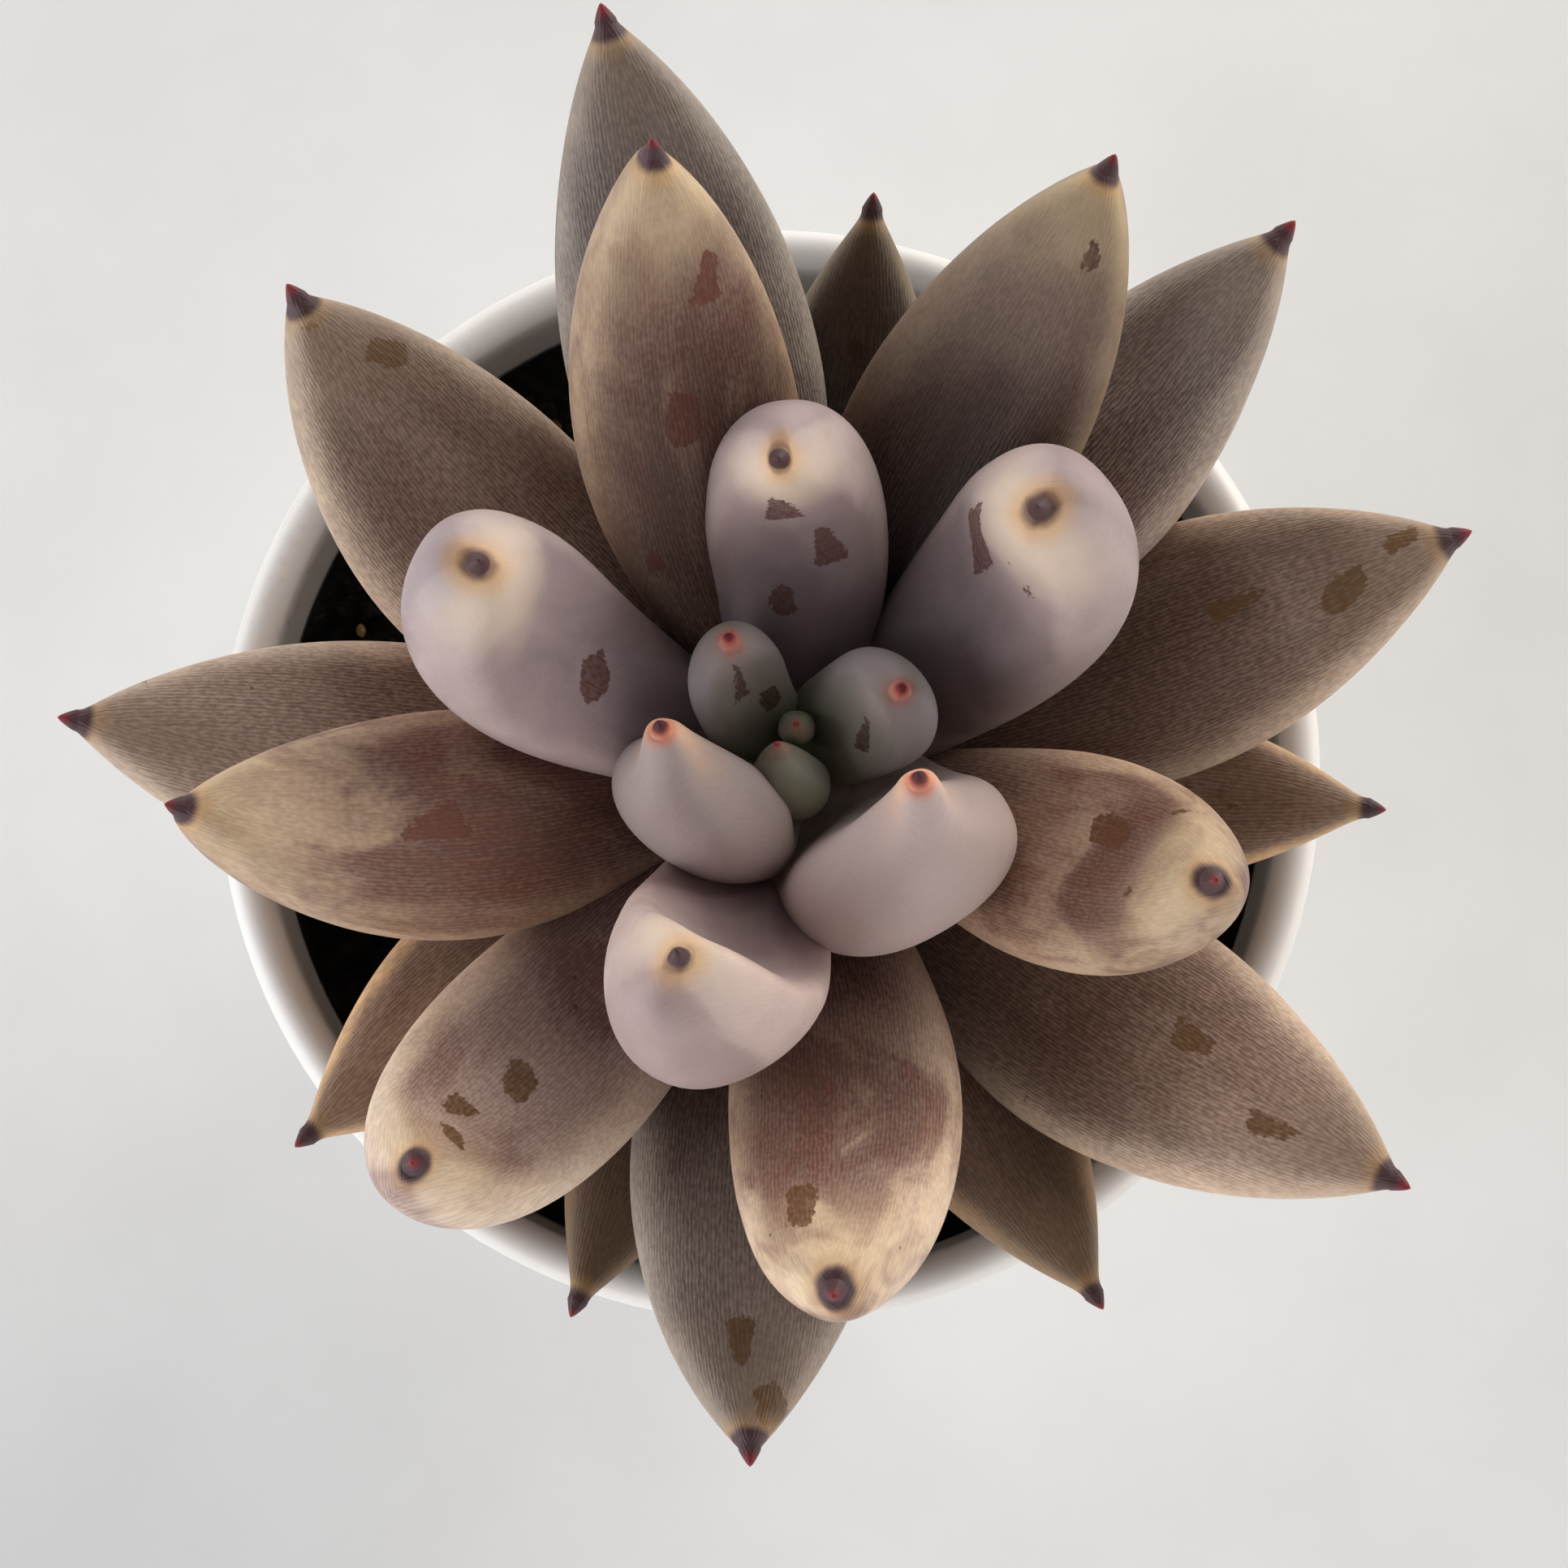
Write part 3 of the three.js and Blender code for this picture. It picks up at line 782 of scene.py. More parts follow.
def row(name, leaving, point, ending, face, size, own=None):
    """Adds a leaf: leaving is (turn, rise, height of its root), size is (width, thickness)."""
    kind = name.split("_")[0]
    LEAVES[name] = {
        **PLAIN, **KINDS[kind], "kind": kind, "turn": leaving[0], "rise": leaving[1], "root": leaving[2],
        "point": point, "ending": ending, "face": face, "width": size[0], "thick": size[1], **(own or {}),
    }


row("bud_leaf_1", (85, 75, 88.8), (2.1, 0.2, 96.6), (90, 78), 85, (2.8, 2.4))
row("bud_leaf_2", (275, 45, 88.3), (0.7, -1.5, 98.3), (100, 65), 268, (5.8, 4.6), BUD_TIP)
row("inner_leaf_1", (145, 55, 86.5), (-2.8, 5.8, 101.5), (100, 78), 118, (7.8, 5), ROUND_OVAL)
row("inner_leaf_2", (28, 45, 86.5), (9.7, 2, 101.5), (35, 86), 38, (9.6, 6), FULL_OVAL)
row("inner_leaf_3", (222, 0, 86), (-7.5, -1.3, 107), (108, 66), 258, (14.4, 9), HORN)
row("inner_leaf_4", (308, 0, 85), (10.2, -5.5, 112), (103, 66), 288, (18, 10.5), WIDE_HORN)
row("middle_leaf_1", (88, 20, 84), (0.8, 15.7, 113), (255, 72), 92, (14, 10.5), FINGER)
row("middle_leaf_2", (29, 15, 83), (18, 11.9, 115), (205, 72), 38, (16, 11))
row("middle_leaf_3", (166, 20, 83), (-19, 8.3, 115), (0, 78), 155, (15, 10.5), SHORT_CURL)
row("middle_leaf_4", (248, 0, 82), (-5.7, -17.6, 117), (105, 66), 240, (16, 10.5), SPOON)
row("upper_leaf_1", (193, 10, 80), (-41, -7.3, 109), (172, 45), 193, (17.5, 9.5), CHANNEL)
row("upper_leaf_2", (113, 28, 81), (-7.5, 35.8, 119), (92, 60), 113, (17, 9.5), CHANNEL)
row("upper_leaf_3", (66, 18, 80), (24, 37.2, 113), (60, 50), 66, (17.5, 9.5), CHANNEL)
row("upper_leaf_4", (338, 12, 80), (29.8, -12.8, 113), (338, 85), 338, (16.5, 9.5), ROUND_END)
row("upper_leaf_5", (283, 8, 79), (4.4, -39.8, 113), (250, 75), 282, (17.5, 9.5), ROUND_END)
row("upper_leaf_6", (233, 10, 79), (-23.6, -31.4, 109), (55, 82), 233, (18, 9.5), NARROW_END)
row("long_leaf_1", (149, 8, 77), (-35, 31.5, 103), (126, 45), 148, (20.5, 9))
row("long_leaf_2", (14, 8, 77), (52, 14.2, 98.5), (18, 30), 14, (19.5, 9))
row("long_leaf_3", (267, 6, 76), (-1.2, -53.2, 97), (272, 35), 266, (20.5, 9))
row("long_leaf_4", (317, 6, 75), (46.4, -33.8, 96.5), (330, 30), 319, (20.5, 9))
row("long_leaf_5", (105, 24, 76), (-11.7, 49.1, 111), (108, 45), 105, (19.5, 9))
row("long_leaf_6", (181, 5, 75), (-53.2, 0.9, 94.5), (174, 30), 180, (19.5, 9))
row("long_leaf_7", (46, 12, 76), (38.2, 35.7, 104.5), (46, 40), 45, (17.5, 9))
row("lower_leaf_1", (82, 10, 75), (8.1, 41.6, 95), (85, 40), 82, (15, 7.5))
row("lower_leaf_2", (354, 6, 75), (48.2, -5.2, 86.5), (352, 20), 354, (15, 7))
row("lower_leaf_3", (213, 5, 75), (-36.3, -31.2, 86.5), (224, 25), 213, (16, 7))
row("lower_leaf_4", (247, 3, 75), (-15.2, -44.2, 84.5), (248, 20), 247, (14, 6.5))
row("lower_leaf_5", (297, 4, 75), (25.6, -43.5, 85.5), (300, 20), 297, (16, 7))
row("lower_leaf_6", (124, 4, 75), (-15, 31, 85), (118, 25), 124, (13, 6.5))
print("leaves:", len(LEAVES))

# %% [markdown]
# ### The line and the sections of a leaf
#
# The spine is a curve that leaves the stem one way and reaches the claw another way. Along it the
# width grows from the neck to the widest place and then closes to the claw, while the thickness
# closes later, which keeps the end of the leaf full.

# %% Rules for a leaf's sections
SWELL_POWER = 1.4
ROOT_THICKNESS = 0.6
OVER_POWER = 2.4  # 2 would make the upper half of a section an ellipse, more makes it squarer
UNDER_POWER = 2.3
CUP_LEVEL = 0.35
KNOB_POWER = 0.5
ROOT_REACH = 1.5
CLAW_LENGTH = 1.3
CLAW_RADIUS = 0.8
CLAW_SHARE = 0.13


def direction(turn, rise):
    """A way as a vector of length 1."""
    a, e = np.radians(turn), np.radians(rise)
    return np.stack([np.cos(e) * np.cos(a), np.cos(e) * np.sin(a), np.sin(e) + 0 * a], -1)


def sections(leaf):
    """Where each ring of a leaf is, the way it runs, and its half width and reach over and under."""
    claw = min(CLAW_RADIUS, CLAW_SHARE * leaf["width"])
    end = direction(*leaf["ending"])
    length = CLAW_LENGTH * claw / CLAW_RADIUS
    tip = np.array(leaf["point"], float) - end * length
    start = np.array([*STEM, leaf["root"]]) + direction(leaf["turn"], 0) * ROOT_REACH
    span = np.linalg.norm(tip - start)
    out = start + direction(leaf["turn"], leaf["rise"]) * leaf["out"] * span
    home = tip - end * leaf["pull"] * span

    base = np.arange(BASE_RINGS) / BASE_RINGS
    swell = np.sin(np.pi / 2 * base) ** SWELL_POWER
    angle = np.linspace(0, np.pi / 2, END_RINGS)
    close = np.clip(np.cos(angle), 0, 1) ** (2 * leaf["blunt"])
    at = np.concatenate([leaf["widest"] * base, leaf["widest"] + (1 - leaf["widest"]) * np.sin(angle)])
    wide = np.concatenate([leaf["neck"] + (1 - leaf["neck"]) * swell, close])
    thick = np.concatenate([ROOT_THICKNESS + (1 - ROOT_THICKNESS) * swell, close ** leaf["fullness"]])

    t = at[:, None]
    s = 1 - t
    place = s**3 * start + 3 * s * s * t * out + 3 * s * t * t * home + t**3 * tip
    along = s * s * (out - start) + 2 * s * t * (home - out) + t * t * (tip - home)
    along /= np.linalg.norm(along, axis=1, keepdims=True)
    size = np.stack([leaf["width"] / 2 * wide, leaf["thick"] * leaf["share"] * thick,
                     leaf["thick"] * (1 - leaf["share"]) * thick], -1)
    left = np.clip(np.cos(angle), 0, 1) ** KNOB_POWER
    knob = leaf["knob"] * np.concatenate([np.ones(BASE_RINGS), left])
    size = np.cbrt(size**3 + knob[:, None] ** 3 + claw**3)

    reach = (np.arange(CLAW_RINGS) + 1) / (CLAW_RINGS + 1)
    place = np.vstack([place, tip + end * (reach * length)[:, None]])
    along = np.vstack([along, np.tile(end, (CLAW_RINGS, 1))])
    size = np.vstack([size, np.repeat((claw * (1 - reach) ** 0.75)[:, None], 3, 1)])
    at = np.concatenate([at, np.ones(CLAW_RINGS)])
    cup = leaf["cup"] * np.concatenate([wide, np.zeros(CLAW_RINGS)])
    return at, place, along, size, cup, start


print("rings of a long leaf:", len(sections(LEAVES["long_leaf_2"])[0]))

# %% [markdown]
# ### What the skin needs to know
#
# The finish of a leaf follows the leaf, not the room: rows of fine grains run from stem to claw,
# the bloom is rubbed off in small chips, and the cap sits at the tip. So each point of a leaf
# carries a few numbers of its own: its place in the leaf laid out straight, its shares across and
# along, its distances from the claw and from the nearest rubbed chip, the light and shade painted
# on its leaf there, and how warm and streaked its leaf is.

# %% Chips where the bloom is rubbed off
OUTLINES = {
    "wedge": [(-0.5, -0.42), (0.5, -0.12), (0.42, 0.2), (-0.38, 0.5)],
    "slab": [(-0.5, -0.25), (-0.1, -0.5), (0.5, -0.3), (0.36, 0.42), (-0.4, 0.5)],
    "sliver": [(-0.5, -0.1), (0.1, -0.5), (0.5, 0.1), (-0.1, 0.5)],
}
CHIPS = {
    "long_leaf_1": [(-2.4, 47.8, 3.8, 2.2, 45, "slab"), (0.9, 53, 0.9, 0.7, 0, "wedge")],
    "long_leaf_2": [(1, 38, 5, 2.4, 92, "wedge"), (-1, 46, 4.4, 2.4, 65, "slab"),
                    (1, 51, 2.8, 1.4, 80, "slab")],
    "long_leaf_3": [(-0.6, 47.5, 4, 2.6, 90, "wedge"), (1.5, 52, 3.2, 2.4, 80, "slab")],
    "long_leaf_4": [(1.6, 40, 4.2, 3, 85, "wedge"), (-1.2, 48.5, 4.4, 2.2, 80, "wedge"),
                    (-9, 31, 1, 0.8, 0, "sliver")],
    "long_leaf_6": [(-4, 44, 0.9, 0.8, 0, "sliver"), (-3.7, 52, 0.8, 0.7, 30, "sliver")],
    "upper_leaf_1": [(0.7, 32, 6.4, 3.2, 80, "wedge")],
    "upper_leaf_2": [(-2.2, 43.5, 4.9, 2.6, 100, "wedge"), (0.7, 32, 5, 3, 95, "slab"),
                     (5.2, 21, 2.9, 1.5, 90, "wedge")],
    "upper_leaf_3": [(-1.7, 48.5, 2.5, 1.4, 76, "wedge")],
    "upper_leaf_4": [(2.2, 32.5, 6, 2.6, 95, "slab"), (-2, 38.5, 2, 0.9, 90, "sliver"),
                     (4.4, 40, 2, 0.8, 70, "sliver")],
    "upper_leaf_5": [(-2.2, 45, 6, 2.2, 90, "slab"), (0.3, 35, 1.6, 1.1, 90, "sliver")],
    "upper_leaf_6": [(0.5, 36, 4.6, 2.7, 75, "slab"), (-1, 43.5, 3.6, 3, 100, "wedge"),
                     (0.5, 48.3, 3.2, 1.9, 60, "slab")],
    "middle_leaf_1": [(0.5, 31, 6, 3.3, 90, "wedge"), (-2.3, 22, 7, 2.9, 85, "wedge"),
                      (1.1, 14.7, 4, 2, 90, "slab")],
    "middle_leaf_2": [(2.8, 32, 12, 3.6, 78, "sliver"), (-0.5, 37, 1.6, 0.6, 90, "sliver"),
                      (-2.7, 34, 4, 0.8, 85, "sliver")],
    "middle_leaf_3": [(0.4, 20.7, 4.4, 3.4, 130, "slab")],
    "inner_leaf_1": [(0.6, 12.5, 4.8, 1.3, 95, "wedge"), (-1.2, 8, 3.2, 1.9, 90, "slab")],
    "inner_leaf_2": [(-1, 10.7, 5.4, 1.6, 66, "wedge")],
    "lower_leaf_1": [(0, 35, 2, 1.6, 60, "slab")],
    "lower_leaf_2": [(-1.1, 35, 1.6, 0.8, 90, "sliver")],
}


def chip_distance(spots, chip):
    """Distance in mm from spots (across, along) to a chip's outline, below 0 inside it."""
    across, along, long, wide, turn, outline = chip
    c, s = math.cos(math.radians(turn)), math.sin(math.radians(turn))
    corners = [(across + c * x * long - s * y * wide, along + s * x * long + c * y * wide)
               for x, y in OUTLINES[outline]]
    corners = np.array(corners)
    nearest = np.full(len(spots), 1e9)
    inside = np.zeros(len(spots), bool)
    for a, b in zip(corners, np.roll(corners, -1, 0)):
        side = b - a
        share = np.clip((spots - a) @ side / (side @ side), 0, 1)
        nearest = np.minimum(nearest, np.linalg.norm(spots - a - share[:, None] * side, axis=1))
        crosses = (a[1] > spots[:, 1]) != (b[1] > spots[:, 1])
        rise = np.where(b[1] == a[1], 1e-9, b[1] - a[1])
        meets = a[0] + (spots[:, 1] - a[1]) / rise * side[0]
        inside ^= crosses & (spots[:, 0] < meets)
    return np.where(inside, -nearest, nearest)


print("outlines:", list(OUTLINES))

# %% Each leaf's painted light and shade, and its warmth
PLAIN_LOOKS = (1, 1, 0, 0.3, 0.5)
OWN_LOOKS = {  # painted light and shade at the root, painted light and shade at the end, warmth, how ochre its chips are, how streaked it is
    "bud_leaf_2": (1.0, 0.85, 0.0, 0.3, 0.5), "inner_leaf_1": (1.7, 1.05, 0.0, 0.3, 0.5),
    "inner_leaf_2": (1.7, 1.3, 0.0, 0.3, 0.5), "inner_leaf_3": (0.75, 0.6, 0.0, 0.3, 0.5),
    "inner_leaf_4": (0.95, 0.68, 0.02, 0.3, 0.5), "middle_leaf_1": (0.68, 0.75, 0.0, 0.2, 0.5),
    "middle_leaf_2": (0.5, 0.66, 0.0, 0.4, 0.5), "middle_leaf_3": (1.4, 0.72, -0.03, 0.3, 0.5),
    "middle_leaf_4": (1.15, 0.75, 0.03, 0.3, 0.5), "upper_leaf_1": (1.25, 0.75, 0.08, 0.0, 0.9),
    "upper_leaf_2": (0.6, 0.6, 0.1, 0.0, 0.7), "upper_leaf_3": (0.38, 0.4, 0.1, 0.2, 0.1),
    "upper_leaf_4": (1.5, 0.7, 0.08, 0.6, 0.9), "upper_leaf_5": (0.9, 1.1, 0.03, 0.8, 1.0),
    "upper_leaf_6": (1.3, 1.35, -0.03, 1.0, 0.15), "long_leaf_1": (1.6, 1.05, 0.05, 0.7, 0.4),
    "long_leaf_2": (0.8, 1.1, 0.08, 0.9, 0.2), "long_leaf_3": (0.65, 0.85, -0.06, 0.8, 0.1),
    "long_leaf_4": (0.7, 1.45, 0.07, 0.8, 0.3), "long_leaf_5": (1.1, 0.72, -0.08, 0.5, 0.1),
    "long_leaf_6": (1.8, 1.4, 0.02, 0.5, 0.2), "long_leaf_7": (2.3, 0.95, -0.04, 0.5, 0.2),
    "lower_leaf_1": (1.8, 0.7, -0.15, 0.3, 0.5), "lower_leaf_2": (2.4, 2.1, 0.0, 0.7, 0.5),
    "lower_leaf_3": (0.9, 2.6, 0.0, 0.6, 0.5), "lower_leaf_4": (1.1, 0.5, 0.12, 0.3, 0.5),
    "lower_leaf_5": (1.7, 1.0, 0.05, 0.3, 0.5),
}
# how large the caps of some leaves are against those of their kind
CAP_SIZES = {"upper_leaf_4": 0.9, "upper_leaf_6": 0.9, "middle_leaf_2": 1.2, "middle_leaf_3": 1.15}
print("leaves with a look of their own:", len(OWN_LOOKS))

# %% Places on the blank
ring_of = np.rint(np.array([v.co.z for v in blank.data.vertices]) * (RINGS - 1)).astype(int)
turn_of = np.array([math.atan2(v.co.y, v.co.x) for v in blank.data.vertices])
is_pole = np.array([math.hypot(v.co.x, v.co.y) < 0.5 for v in blank.data.vertices])
print("points on the blank:", len(ring_of), "of them at its two ends:", is_pole.sum())

# %% Lay out one leaf
HOLLOW_POWER = 1.5
HOLLOW = {"bud": 0.0, "inner": 0.04, "middle": 0.06, "upper": 0.09, "long": 0.05, "lower": 0.03}
BELLY_FROM, BELLY_LENGTH = 0.25, 0.72  # shares of the length where the upper side is hollow
SWELL_AMOUNT = 0.014  # of the leaf's width
SWELL_PITCH = 17
SWELL_WAVES = 6
CALM_END = 6  # the swell dies out over the last 1/6 of the length


def soft_waves(spots, seed, pitch):
    """A smooth random field of about -1..1: a few sine waves in random ways."""
    draw = np.random.default_rng(seed)
    field = np.zeros(len(spots))
    for _ in range(SWELL_WAVES):
        way = draw.normal(size=3)
        way *= math.tau / pitch / np.linalg.norm(way)
        field += np.sin(spots @ way + draw.uniform(0, math.tau))
    return field / 3


def lay_out(leaf, seed):
    """The points of a leaf in the leaf laid out straight, and in their places."""
    at, place, along, size, cup, start = sections(leaf)
    face = leaf["turn"] + (leaf["face"] - leaf["turn"]) * at + 90
    side = direction(face, 0)
    side -= (side * along).sum(1, keepdims=True) * along
    side /= np.linalg.norm(side, axis=1, keepdims=True)
    up = np.cross(along, side)

    steps = np.linalg.norm(np.diff(place, axis=0), axis=1)
    run = np.concatenate([[0], np.cumsum(steps)])
    c = np.where(is_pole, 0, np.cos(turn_of))
    s = np.where(is_pole, 0, np.sin(turn_of))
    power = 2 / np.where(s > 0, OVER_POWER, UNDER_POWER)
    c = np.sign(c) * np.abs(c) ** power
    s = np.sign(s) * np.abs(s) ** power
    half, over, under = size[ring_of].T
    across = half * c
    height = np.where(s > 0, over, under) * s + cup[ring_of] * (c * c - CUP_LEVEL)
    straight = np.stack([across, run[ring_of], height], -1)

    share = run[ring_of] / run[-1]
    middle = np.clip(1 - c * c, 0, 1) ** HOLLOW_POWER
    belly = np.sin(np.pi * np.clip((share - BELLY_FROM) / BELLY_LENGTH, 0, 1)) ** 2
    dent = HOLLOW[leaf["kind"]] * leaf["thick"] * middle * belly
    calm = np.clip((1 - share) * CALM_END, 0, 1)
    swell = SWELL_AMOUNT * leaf["width"] * soft_waves(straight, seed, SWELL_PITCH) * calm
    height = np.where(is_pole, 0, height + np.where(s > 0, swell - dent, -swell))

    spots = place[ring_of] + side[ring_of] * across[:, None] + up[ring_of] * height[:, None]
    spots[is_pole & (ring_of == 0)] = start
    spots[is_pole & (ring_of > 0)] = leaf["point"]
    return straight, np.stack([c, share, s], -1), spots


print("waves on a leaf:", soft_waves(np.eye(3), 1, SWELL_PITCH).round(2).tolist())

# %% Shape every leaf
NO_CHIP = 5.0  # the distance from a chip that counts as far away
SEED_STEP = 83.0  # sets the patterns of two leaves this far apart
LIGHT_FROM, LIGHT_LENGTH = 0.35, 0.5  # shares of the length where the light changes


def store(piece, name, values):
    """Keeps three numbers for each point of a piece, for its finish to read."""
    layer = piece.data.attributes.new(name, "FLOAT_VECTOR", "POINT")
    layer.data.foreach_set("vector", values.astype(np.float32).ravel())


def shape_leaf(name, leaf, seed):
    """A copy of the blank, set on the leaf's own line."""
    straight, shares, spots = lay_out(leaf, seed)
    piece = bpy.data.objects.new(f"{name}_skin", blank.data.copy())
    bpy.context.scene.collection.objects.link(piece)
    piece.data.name = piece.name
    piece.data.vertices.foreach_set("co", (spots * MM).astype(np.float32).ravel())

    rubbed = np.full(len(spots), NO_CHIP)
    for chip in CHIPS.get(name, []):
        away = chip_distance(straight[:, :2], chip)
        rubbed = np.where(shares[:, 2] >= 0, np.minimum(rubbed, away), rubbed)
    from_claw = np.linalg.norm(spots - np.array(leaf["point"]), axis=1) / CAP_SIZES.get(name, 1)
    root_painted_light, end_painted_light, warm, ochre, streaked = OWN_LOOKS.get(name, PLAIN_LOOKS)
    # Painted light and shade, which runs from the leaf's root to its end.
    outward = np.clip((shares[:, 1] - LIGHT_FROM) / LIGHT_LENGTH, 0, 1)
    light = root_painted_light + (end_painted_light - root_painted_light) * outward * outward * (3 - 2 * outward)
    store(piece, "leaf_mm", straight + [0, SEED_STEP * seed, 0])
    store(piece, "leaf_share", shares)
    store(piece, "leaf_marks", np.stack([from_claw, rubbed, np.full(len(spots), ochre)], -1))
    store(piece, "leaf_streaks", np.full((len(spots), 3), streaked))
    store(piece, "leaf_painted_light_and_warmth", light[:, None] * [1 + warm, 1, 1 - warm])
    piece.data.update()
    return piece


pieces = {}
for seed, (name, leaf) in enumerate(LEAVES.items(), 1):
    pieces[name] = shape_leaf(name, leaf, seed)
bpy.data.objects.remove(blank)
print("leaf triangles in all:", sum(count(piece) for piece in pieces.values()))

# %% [markdown]
# ## Finish of the leaves
#
# The flesh of a leaf is brown, olive or green. Over it lies a waxy bloom that is nearly white on
# the young leaves and thin on the old ones. So the colour is built in layers: flesh with painted shade
# at its root and in its middle and painted edge light on its rims, then bloom with its clouds and its
# rows of grains, then the leaf's painted light and shade from root to end and its pale end, which is
# partly painted light, then chips where the bloom is gone, specks, and the dark cap with its red
# claw. The patterns that these layers need are four groups, and every kind of leaf uses them with
# its own values.

# %% Group for the rows of grains
ROW_LENGTH = 0.3  # less than 1 draws the grains out along the leaf
ROUND_THE_EDGE = 0.8

group, given, put_out = new_group("Rows of grains", {"Vector": ORIGIN}, ["Grains", "Rows"])
across, along, over = parted(group, given["Vector"])
round_it = sums(group, "SUBTRACT", sums(group, "ABSOLUTE", across), times(group, over, ROUND_THE_EDGE))
unrolled = {"X": round_it, "Y": times(group, along, ROW_LENGTH)}
unrolled = node(group, "ShaderNodeCombineXYZ", unrolled).outputs[0]
wave = {"Vector": unrolled, "Scale": 0.95, "Distortion": 4.5, "Detail": 2.0, "Detail Scale": 2.4}
rows = node(group, "ShaderNodeTexWave", wave, wave_type="BANDS").outputs["Fac"]
pits = spread(group, noise(group, stretched(group, unrolled, (2.8, 5.0, 1.0)), 1.0), 0.32, 0.68)
feed(group, put_out["Grains"], sums(group, "MULTIPLY_ADD", rows, 0.3, times(group, pits, 0.7)))
feed(group, put_out["Rows"], rows)
grain_rows = group
print("group:", grain_rows.name)

# %% Group for the clouds in the bloom
CLOUDS_PER_MM = 0.11

group, given, put_out = new_group("Bloom clouds", {"Vector": ORIGIN}, ["Clouds", "Mottle", "Streaks"])
drawn = stretched(group, given["Vector"], (CLOUDS_PER_MM, 0.55 * CLOUDS_PER_MM, CLOUDS_PER_MM))
wide = noise(group, drawn, 1.0, 4.0, Roughness=0.55, Distortion=0.6)
small = noise(group, drawn, 4.5, 4.0, Roughness=0.6)
flow = stretched(group, given["Vector"], (0.42, 0.085, 0.42))
band = noise(group, flow, 1.0, 3.0, Distortion=0.8)
feed(group, put_out["Clouds"], spread(group, wide, 0.32, 0.68))
feed(group, put_out["Mottle"], spread(group, small, 0.3, 0.7))
feed(group, put_out["Streaks"], spread(group, band, 0.4, 0.72))
bloom_clouds = group
print("group:", bloom_clouds.name)

# %% Group for the chips and specks
SPECKS_PER_METRE = 340.0
CHIP_RAGGED = 0.24  # how far a chip's edge strays from its outline
CHIP_SOFT = 0.08

group, given, put_out = new_group(
    "Chips and specks",
    {"Vector": ORIGIN, "Place": ORIGIN, "Distance": NO_CHIP, "Specks": 0.5},
    ["Rubbed", "Specks"],
)
rough = noise(group, stretched(group, given["Vector"], (3.2, 1.6, 3.2)), 1.0)
shove = spread(group, rough, 0.25, 0.75, -CHIP_RAGGED, CHIP_RAGGED, smooth=False)
away = plus(group, given["Distance"], shove)
feed(group, put_out["Rubbed"], spread(group, away, CHIP_SOFT, -CHIP_SOFT))
dots = {"Vector": given["Place"], "Scale": SPECKS_PER_METRE, "Randomness": 1.0}
dots = node(group, "ShaderNodeTexVoronoi", dots).outputs
chosen, size, _ = parted(group, dots["Color"])
keep = sums(group, "LESS_THAN", chosen, times(group, given["Specks"], 0.3))
radius = sums(group, "MULTIPLY_ADD", size, 0.06, 0.03)
dot = spread(group, sums(group, "DIVIDE", dots["Distance"], radius), 1.15, 0.75)
feed(group, put_out["Specks"], times(group, keep, dot))
chips_and_specks = group
print("group:", chips_and_specks.name)

# %% Group for the cap and the claw
CAP_RAGGED = 0.1
END_RAGGED = 0.15  # of the reach

group, given, put_out = new_group(
    "Cap and claw",
    {"Vector": ORIGIN, "Distance": 9.0, "Cap": 2.0, "Halo": 2.5, "Claw": 0.9, "Reach": 10.0},
    ["Cap", "Claw", "Halo", "End"],
)
uneven = noise(group, given["Vector"], 0.9)
shove = spread(group, uneven, 0.25, 0.75, -CAP_RAGGED, CAP_RAGGED, smooth=False)
past = sums(group, "SUBTRACT", plus(group, given["Distance"], shove), given["Cap"])
halo = sums(group, "DIVIDE", past, given["Halo"])
drift = noise(group, given["Vector"], 0.16)
drift = spread(group, drift, 0.3, 0.7, -END_RAGGED, END_RAGGED, smooth=False)
far = plus(group, given["Distance"], times(group, drift, given["Reach"]))
far = sums(group, "DIVIDE", far, given["Reach"])
feed(group, put_out["Cap"], spread(group, past, 0.3, -0.45))
feed(group, put_out["Claw"], spread(group, given["Distance"], given["Claw"], 0.3))
feed(group, put_out["Halo"], spread(group, halo, 1.0, -0.15))
feed(group, put_out["End"], spread(group, far, 1.1, 0.1))
cap_and_claw = group
print("group:", cap_and_claw.name)

# %% [markdown]
# ### The layers of a leaf's colour
#
# Each layer is a function that takes the colour so far and gives back the next one. What they
# share comes in as numbers: across runs from -1 at one rim to 1 at the other, along from 0 at the
# root to 1 at the claw, and over from -1 underneath to 1 on the upper side.

